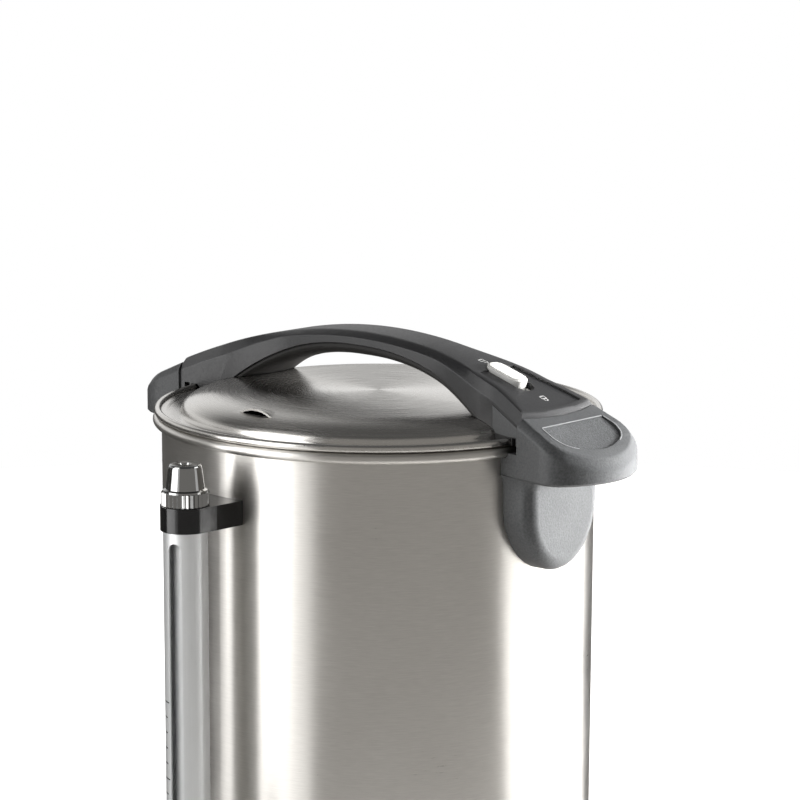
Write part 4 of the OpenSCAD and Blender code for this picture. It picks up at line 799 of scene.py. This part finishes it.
class URN_OT_side_handles(Operator):
    """Rounds and dresses the two side handles with their thumb pads"""

    bl_idname = "urn.side_handles"
    bl_label = "Side handles"

    GRIT_SHARE = 0.985  # Of the pad's outline, so that the grit stops short of its walls
    RAY_START = 5 * MM  # Above the pad

    def lay_grit(self, pads, face, detail):
        """Adds a thin gritty layer on the floor of a pad."""
        middle = face.calc_center_median()
        drawn_in = [middle + (v.co - middle) * self.GRIT_SHARE for v in face.verts]
        thicken(pads, pads.faces.new([pads.verts.new(spot) for spot in drawn_in]), face.normal * detail.grit)

    def raise_ridge(self, ridges, surface, face, detail):
        """Adds a fine ridge beside a pad's inner edge and its two sides."""
        middle = face.calc_center_median()
        outline = [v.co for v in face.verts]
        half = detail.ridge / 2
        for a, b in zip(outline, outline[1:] + outline[:1]):
            if max(abs(a.x), abs(b.x)) > detail.ridge_end:
                continue
            out = (b - a).cross(face.normal).normalized()
            out *= math.copysign(1, out.dot((a + b) / 2 - middle))
            beside = out * detail.ridge + face.normal * self.RAY_START
            start, end = (surface.ray_cast(spot + beside, -face.normal)[0] for spot in (a, b))
            corners = [start - out * half, start + out * half, end + out * half, end - out * half]
            low = ridges.faces.new([ridges.verts.new(spot - face.normal * half) for spot in corners])
            thicken(ridges, low, face.normal * (half + detail.ridge_rise))

    def execute(self, context):
        detail = context.scene.urn_detail
        pads, ridges = bmesh.new(), bmesh.new()
        for node, side in (("side_handle_right", 1), ("side_handle_left", -1)):
            bm = merged(node)
            bm.faces.ensure_lookup_table()
            surface = BVHTree.FromBMesh(bm)
            pad = bm.faces[surface.ray_cast(Vector((side * detail.pad_middle, 0, 1)), DOWN)[2]]
            self.lay_grit(pads, pad, detail)
            self.raise_ridge(ridges, surface, pad, detail)
            soften(bm, detail)
            smooth(new_piece(node + "_rounded", bm, "urn", material_of(handle_pp, context), "handle_grey",
                             node))
        bmesh.ops.recalc_face_normals(pads, faces=pads.faces)
        new_piece("thumb_pads", pads, "urn", material_of(pad_grit, context), "handle_grey")
        bmesh.ops.recalc_face_normals(ridges, faces=ridges.faces)
        # The ridges' pale grey paints the highlight where light catches the pads' inner edge and sides
        new_piece("pad_ridges", ridges, "urn", material_of(ridge_painted_highlight, context), "handle_grey")
        paint("wall_screws", material_of(pressed_stainless, context))
        paint("wall_washers", material_of(silicone_rubber, context))
        return {"FINISHED"}


class URN_OT_gauge(Operator):
    """Dresses the sight gauge"""

    bl_idname = "urn.gauge"
    bl_label = "Sight gauge"

    def execute(self, context):
        paint("gauge_cap", material_of(chrome_plate, context))
        paint("gauge_collar", material_of(gloss_abs, context))
        paint("gauge_guard", material_of(satin_aluminium, context))
        paint("gauge_glass", material_of(gauge_glass, context))
        paint("gauge_seal_top", material_of(silicone_rubber, context))
        paint("gauge_seal_bottom", material_of(silicone_rubber, context))
        return {"FINISHED"}


class URN_OT_signs(Operator):
    """Prints the padlocks beside the lid lock and the marks on the gauge's guard"""

    bl_idname = "urn.signs"
    bl_label = "Printed signs"

    # A padlock in tenths of its length: the four bars of its case, from corner to corner, and its shackle
    BARS = ((-3.7, -5, 3.7, -4), (-3.7, -0.4, 3.7, 0.6), (-3.7, -4, -2.7, -0.4), (2.7, -4, 3.7, -0.4))
    BOW_OUTER, BOW_INNER, BOW_FOOT, BOW_MIDDLE, BOW_STEPS = 2.7, 1.7, 0.4, 2.3, 10
    BOW_PIVOT = (-2.2, 0.6)
    OPEN_SWING = math.radians(32)
    SIGN_ASIDE = 0.5 * MM

    # A mark is a row of short bars that overlap round the guard
    LONG_EVERY = 5
    MARK_BARS = 6
    BAR_SHARE = 0.17  # Half a bar's width, of half a mark
    BAR_REACH = 0.8  # How far out the end bars' middles lie, of half a mark

    def print_shape(self, bm, outline, place, ink):
        """A thin closed shape with an outline in the plane of a matrix."""
        face = bm.faces.new([bm.verts.new(place @ Vector((x, y, 0))) for x, y in outline])
        thicken(bm, face, place.to_3x3() @ Vector((0, 0, ink)))

    def padlock(self, bm, detail, is_open, place):
        """A padlock with its shackle up along Y, turned on its left foot where the lock is open."""
        unit = detail.sign / 10
        for x0, y0, x1, y1 in self.BARS:
            bar = [(x * unit, y * unit) for x, y in ((x0, y0), (x1, y0), (x1, y1), (x0, y1))]
            self.print_shape(bm, bar, place, detail.ink)
        around = [math.pi * i / self.BOW_STEPS for i in range(self.BOW_STEPS + 1)]
        bow = []
        for reach in (self.BOW_OUTER, -self.BOW_INNER):
            bow.append((reach, self.BOW_FOOT))
            bow += [(reach * math.cos(a), self.BOW_MIDDLE + abs(reach) * math.sin(a)) for a in around]
            bow.append((-reach, self.BOW_FOOT))
        pivot = Vector((*self.BOW_PIVOT, 0)) * unit
        swing = Matrix.Rotation(self.OPEN_SWING if is_open else 0, 4, "Z")
        turned = place @ Matrix.Translation(pivot) @ swing @ Matrix.Translation(-pivot)
        self.print_shape(bm, [(x * unit, y * unit) for x, y in bow], turned, detail.ink)

    def lock_signs(self, context, detail):
        """The closed and the open padlock at the two ends of the slider's slot."""
        surface = surface_of("lid_handle")
        across = Vector((0, -1, 0))
        bm = bmesh.new()
        for x, is_open in ((detail.locked_sign, False), (detail.open_sign, True)):
            spot, normal, _, _ = surface.ray_cast(Vector((x, self.SIGN_ASIDE, 1)), DOWN)
            facing = Matrix((across, normal.cross(across), normal)).transposed().to_4x4()
            self.padlock(bm, detail, is_open, Matrix.Translation(spot) @ facing)
        bmesh.ops.recalc_face_normals(bm, faces=bm.faces)
        new_piece("lock_signs", bm, "lid", material_of(pad_print, context), "white_plastic")

    def gauge_marks(self, context, detail):
        """Level marks on the gauge's guard up to the full level, some of them longer."""
        corners = [Vector(c) for c in NODES["gauge_guard"].bound_box]
        low, high = (Vector([pick(c[i] for c in corners) for i in range(3)]) for pick in (min, max))
        middle, radius = (low + high) / 2, (high.x - low.x) / 2
        upright = Matrix.Translation((0, -radius, 0)) @ Matrix.Rotation(math.pi / 2, 4, "X")
        bm = bmesh.new()
        for i in range(int(detail.full_level / 100 * (high.z - low.z) / detail.tick)):
            half = detail.short_mark if i % self.LONG_EVERY else detail.long_mark
            level = Matrix.Translation((middle.x, middle.y, low.z + detail.first_mark + i * detail.tick))
            w, h = radius * half * self.BAR_SHARE, detail.mark_height / 2
            bar = [(-w, -h), (w, -h), (w, h), (-w, h)]
            for step in range(self.MARK_BARS):
                turn = detail.mark_turn + half * (2 * step / (self.MARK_BARS - 1) - 1) * self.BAR_REACH
                self.print_shape(bm, bar, level @ Matrix.Rotation(turn, 4, "Z") @ upright, detail.ink)
        bmesh.ops.recalc_face_normals(bm, faces=bm.faces)
        new_piece("gauge_marks", bm, "urn", material_of(mark_ink, context), "black_plastic")

    def execute(self, context):
        detail = context.scene.urn_detail
        self.lock_signs(context, detail)
        self.gauge_marks(context, detail)
        return {"FINISHED"}


class URN_OT_tap(Operator):
    """Dresses the tap and its spring"""

    bl_idname = "urn.tap"
    bl_label = "Tap"

    # The lever's finger: its start behind the pivot, half its thickness, and what still counts as its flat
    FINGER_START, FINGER_HALF, FINGER_SLACK = 4 * MM, 1.3 * MM, 0.02 * MM
    COIL_LEAST_TURN = 65

    def thin_finger(self, bm, detail):
        """Draws in the flats of the lever's finger, so that it clears the stem's slot when it turns."""
        pivot = Vector(JOINTS["tap_lever_turn"]["pos_m"])
        for v in bm.verts:
            rise = v.co.z - pivot.z
            on_flat = abs(abs(rise) - self.FINGER_HALF) < self.FINGER_SLACK
            if v.co.y > pivot.y + self.FINGER_START and on_flat:
                v.co.z -= math.copysign(detail.finger_cut, rise)

    def coil(self, steel):
        """The spring, smoothly shaded, on a mesh of its own."""
        spring = new_piece("tap_spring_coil", merged("tap_spring"), "urn", steel, "steel", "tap_spring")
        smooth(spring, self.COIL_LEAST_TURN)
        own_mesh(spring)

    def execute(self, context):
        detail = context.scene.urn_detail
        paint("tap_shank", material_of(chrome_plate, context))
        for node in ("shank_nut", "lever_pin", "tap_stem"):
            paint(node, material_of(pressed_stainless, context))
        self.coil(material_of(pressed_stainless, context))
        for node in ("shank_washers", "seat_cup"):
            paint(node, material_of(silicone_rubber, context))
        for node in ("tap_body", "tap_bonnet"):
            paint(node, material_of(gloss_abs, context))
        bm = merged("tap_lever")
        self.thin_finger(bm, detail)
        soften(bm, detail)
        smooth(new_piece("tap_lever_rounded", bm, "lever", material_of(gloss_abs, context), "gloss_black",
                         "tap_lever"))
        return {"FINISHED"}


class URN_OT_base(Operator):
    """Dresses the base with its switch, lamp and inlet"""

    bl_idname = "urn.base"
    bl_label = "Base"

    def execute(self, context):
        for node in ("base_housing", "base_plate", "power_inlet", "switch_housing", "thermostat"):
            paint(node, material_of(black_pp, context))
        paint("switch_rocker", material_of(gloss_abs, context))
        paint("rubber_feet", material_of(foot_rubber, context))
        paint("indicator_lens", material_of(lamp_acrylic, context))
        paint("supply_wires", material_of(wire_jacket, context))
        for node in ("inlet_pins", "thermal_fuse"):
            paint(node, material_of(machined_brass, context))
        for node in ("base_screws", "boil_heater", "warm_heater", "heater_clamp", "clamp_studs",
                     "clamp_nuts"):
            paint(node, material_of(pressed_stainless, context))
        return {"FINISHED"}


class URN_OT_percolator(Operator):
    """Dresses the percolator inside the tank"""

    bl_idname = "urn.percolator"
    bl_label = "Percolator"

    def execute(self, context):
        for node in ("pump_foot", "pump_tube", "filter_basket", "basket_cover"):
            paint(node, material_of(pressed_stainless, context))
        return {"FINISHED"}


OPERATORS = (URN_OT_stage, URN_OT_body, URN_OT_lid, URN_OT_lid_handle, URN_OT_knee_plates, URN_OT_lid_lock,
             URN_OT_side_handles, URN_OT_gauge, URN_OT_signs, URN_OT_tap, URN_OT_base, URN_OT_percolator)


class URN_PT_pieces(Panel):
    """Lists the steps that dress the urn"""

    bl_idname = "URN_PT_pieces"
    bl_label = "Coffee urn"
    bl_space_type = "VIEW_3D"
    bl_region_type = "UI"
    bl_category = "Urn"

    def draw(self, context):
        for operator in OPERATORS:
            self.layout.operator(operator.bl_idname)
        for group in (context.scene.urn_finish, context.scene.urn_studio, context.scene.urn_detail):
            for name in group.__annotations__:
                self.layout.prop(group, name)


CLASSES = (UrnFinish, UrnStudio, UrnDetail, *OPERATORS, URN_PT_pieces)


def register():
    """Makes the settings, the steps and the panel known to Blender."""
    for item in CLASSES:
        bpy.utils.register_class(item)
    bpy.types.Scene.urn_finish = PointerProperty(type=UrnFinish)
    bpy.types.Scene.urn_studio = PointerProperty(type=UrnStudio)
    bpy.types.Scene.urn_detail = PointerProperty(type=UrnDetail)


def unregister():
    """Takes them out again."""
    for name in ("urn_finish", "urn_studio", "urn_detail"):
        delattr(bpy.types.Scene, name)
    for item in reversed(CLASSES):
        bpy.utils.unregister_class(item)


def main():
    """Dresses the urn step by step."""
    register()
    for operator in OPERATORS:
        group, name = operator.bl_idname.split(".")
        getattr(getattr(bpy.ops, group), name)()


if __name__ == "__main__":
    main()
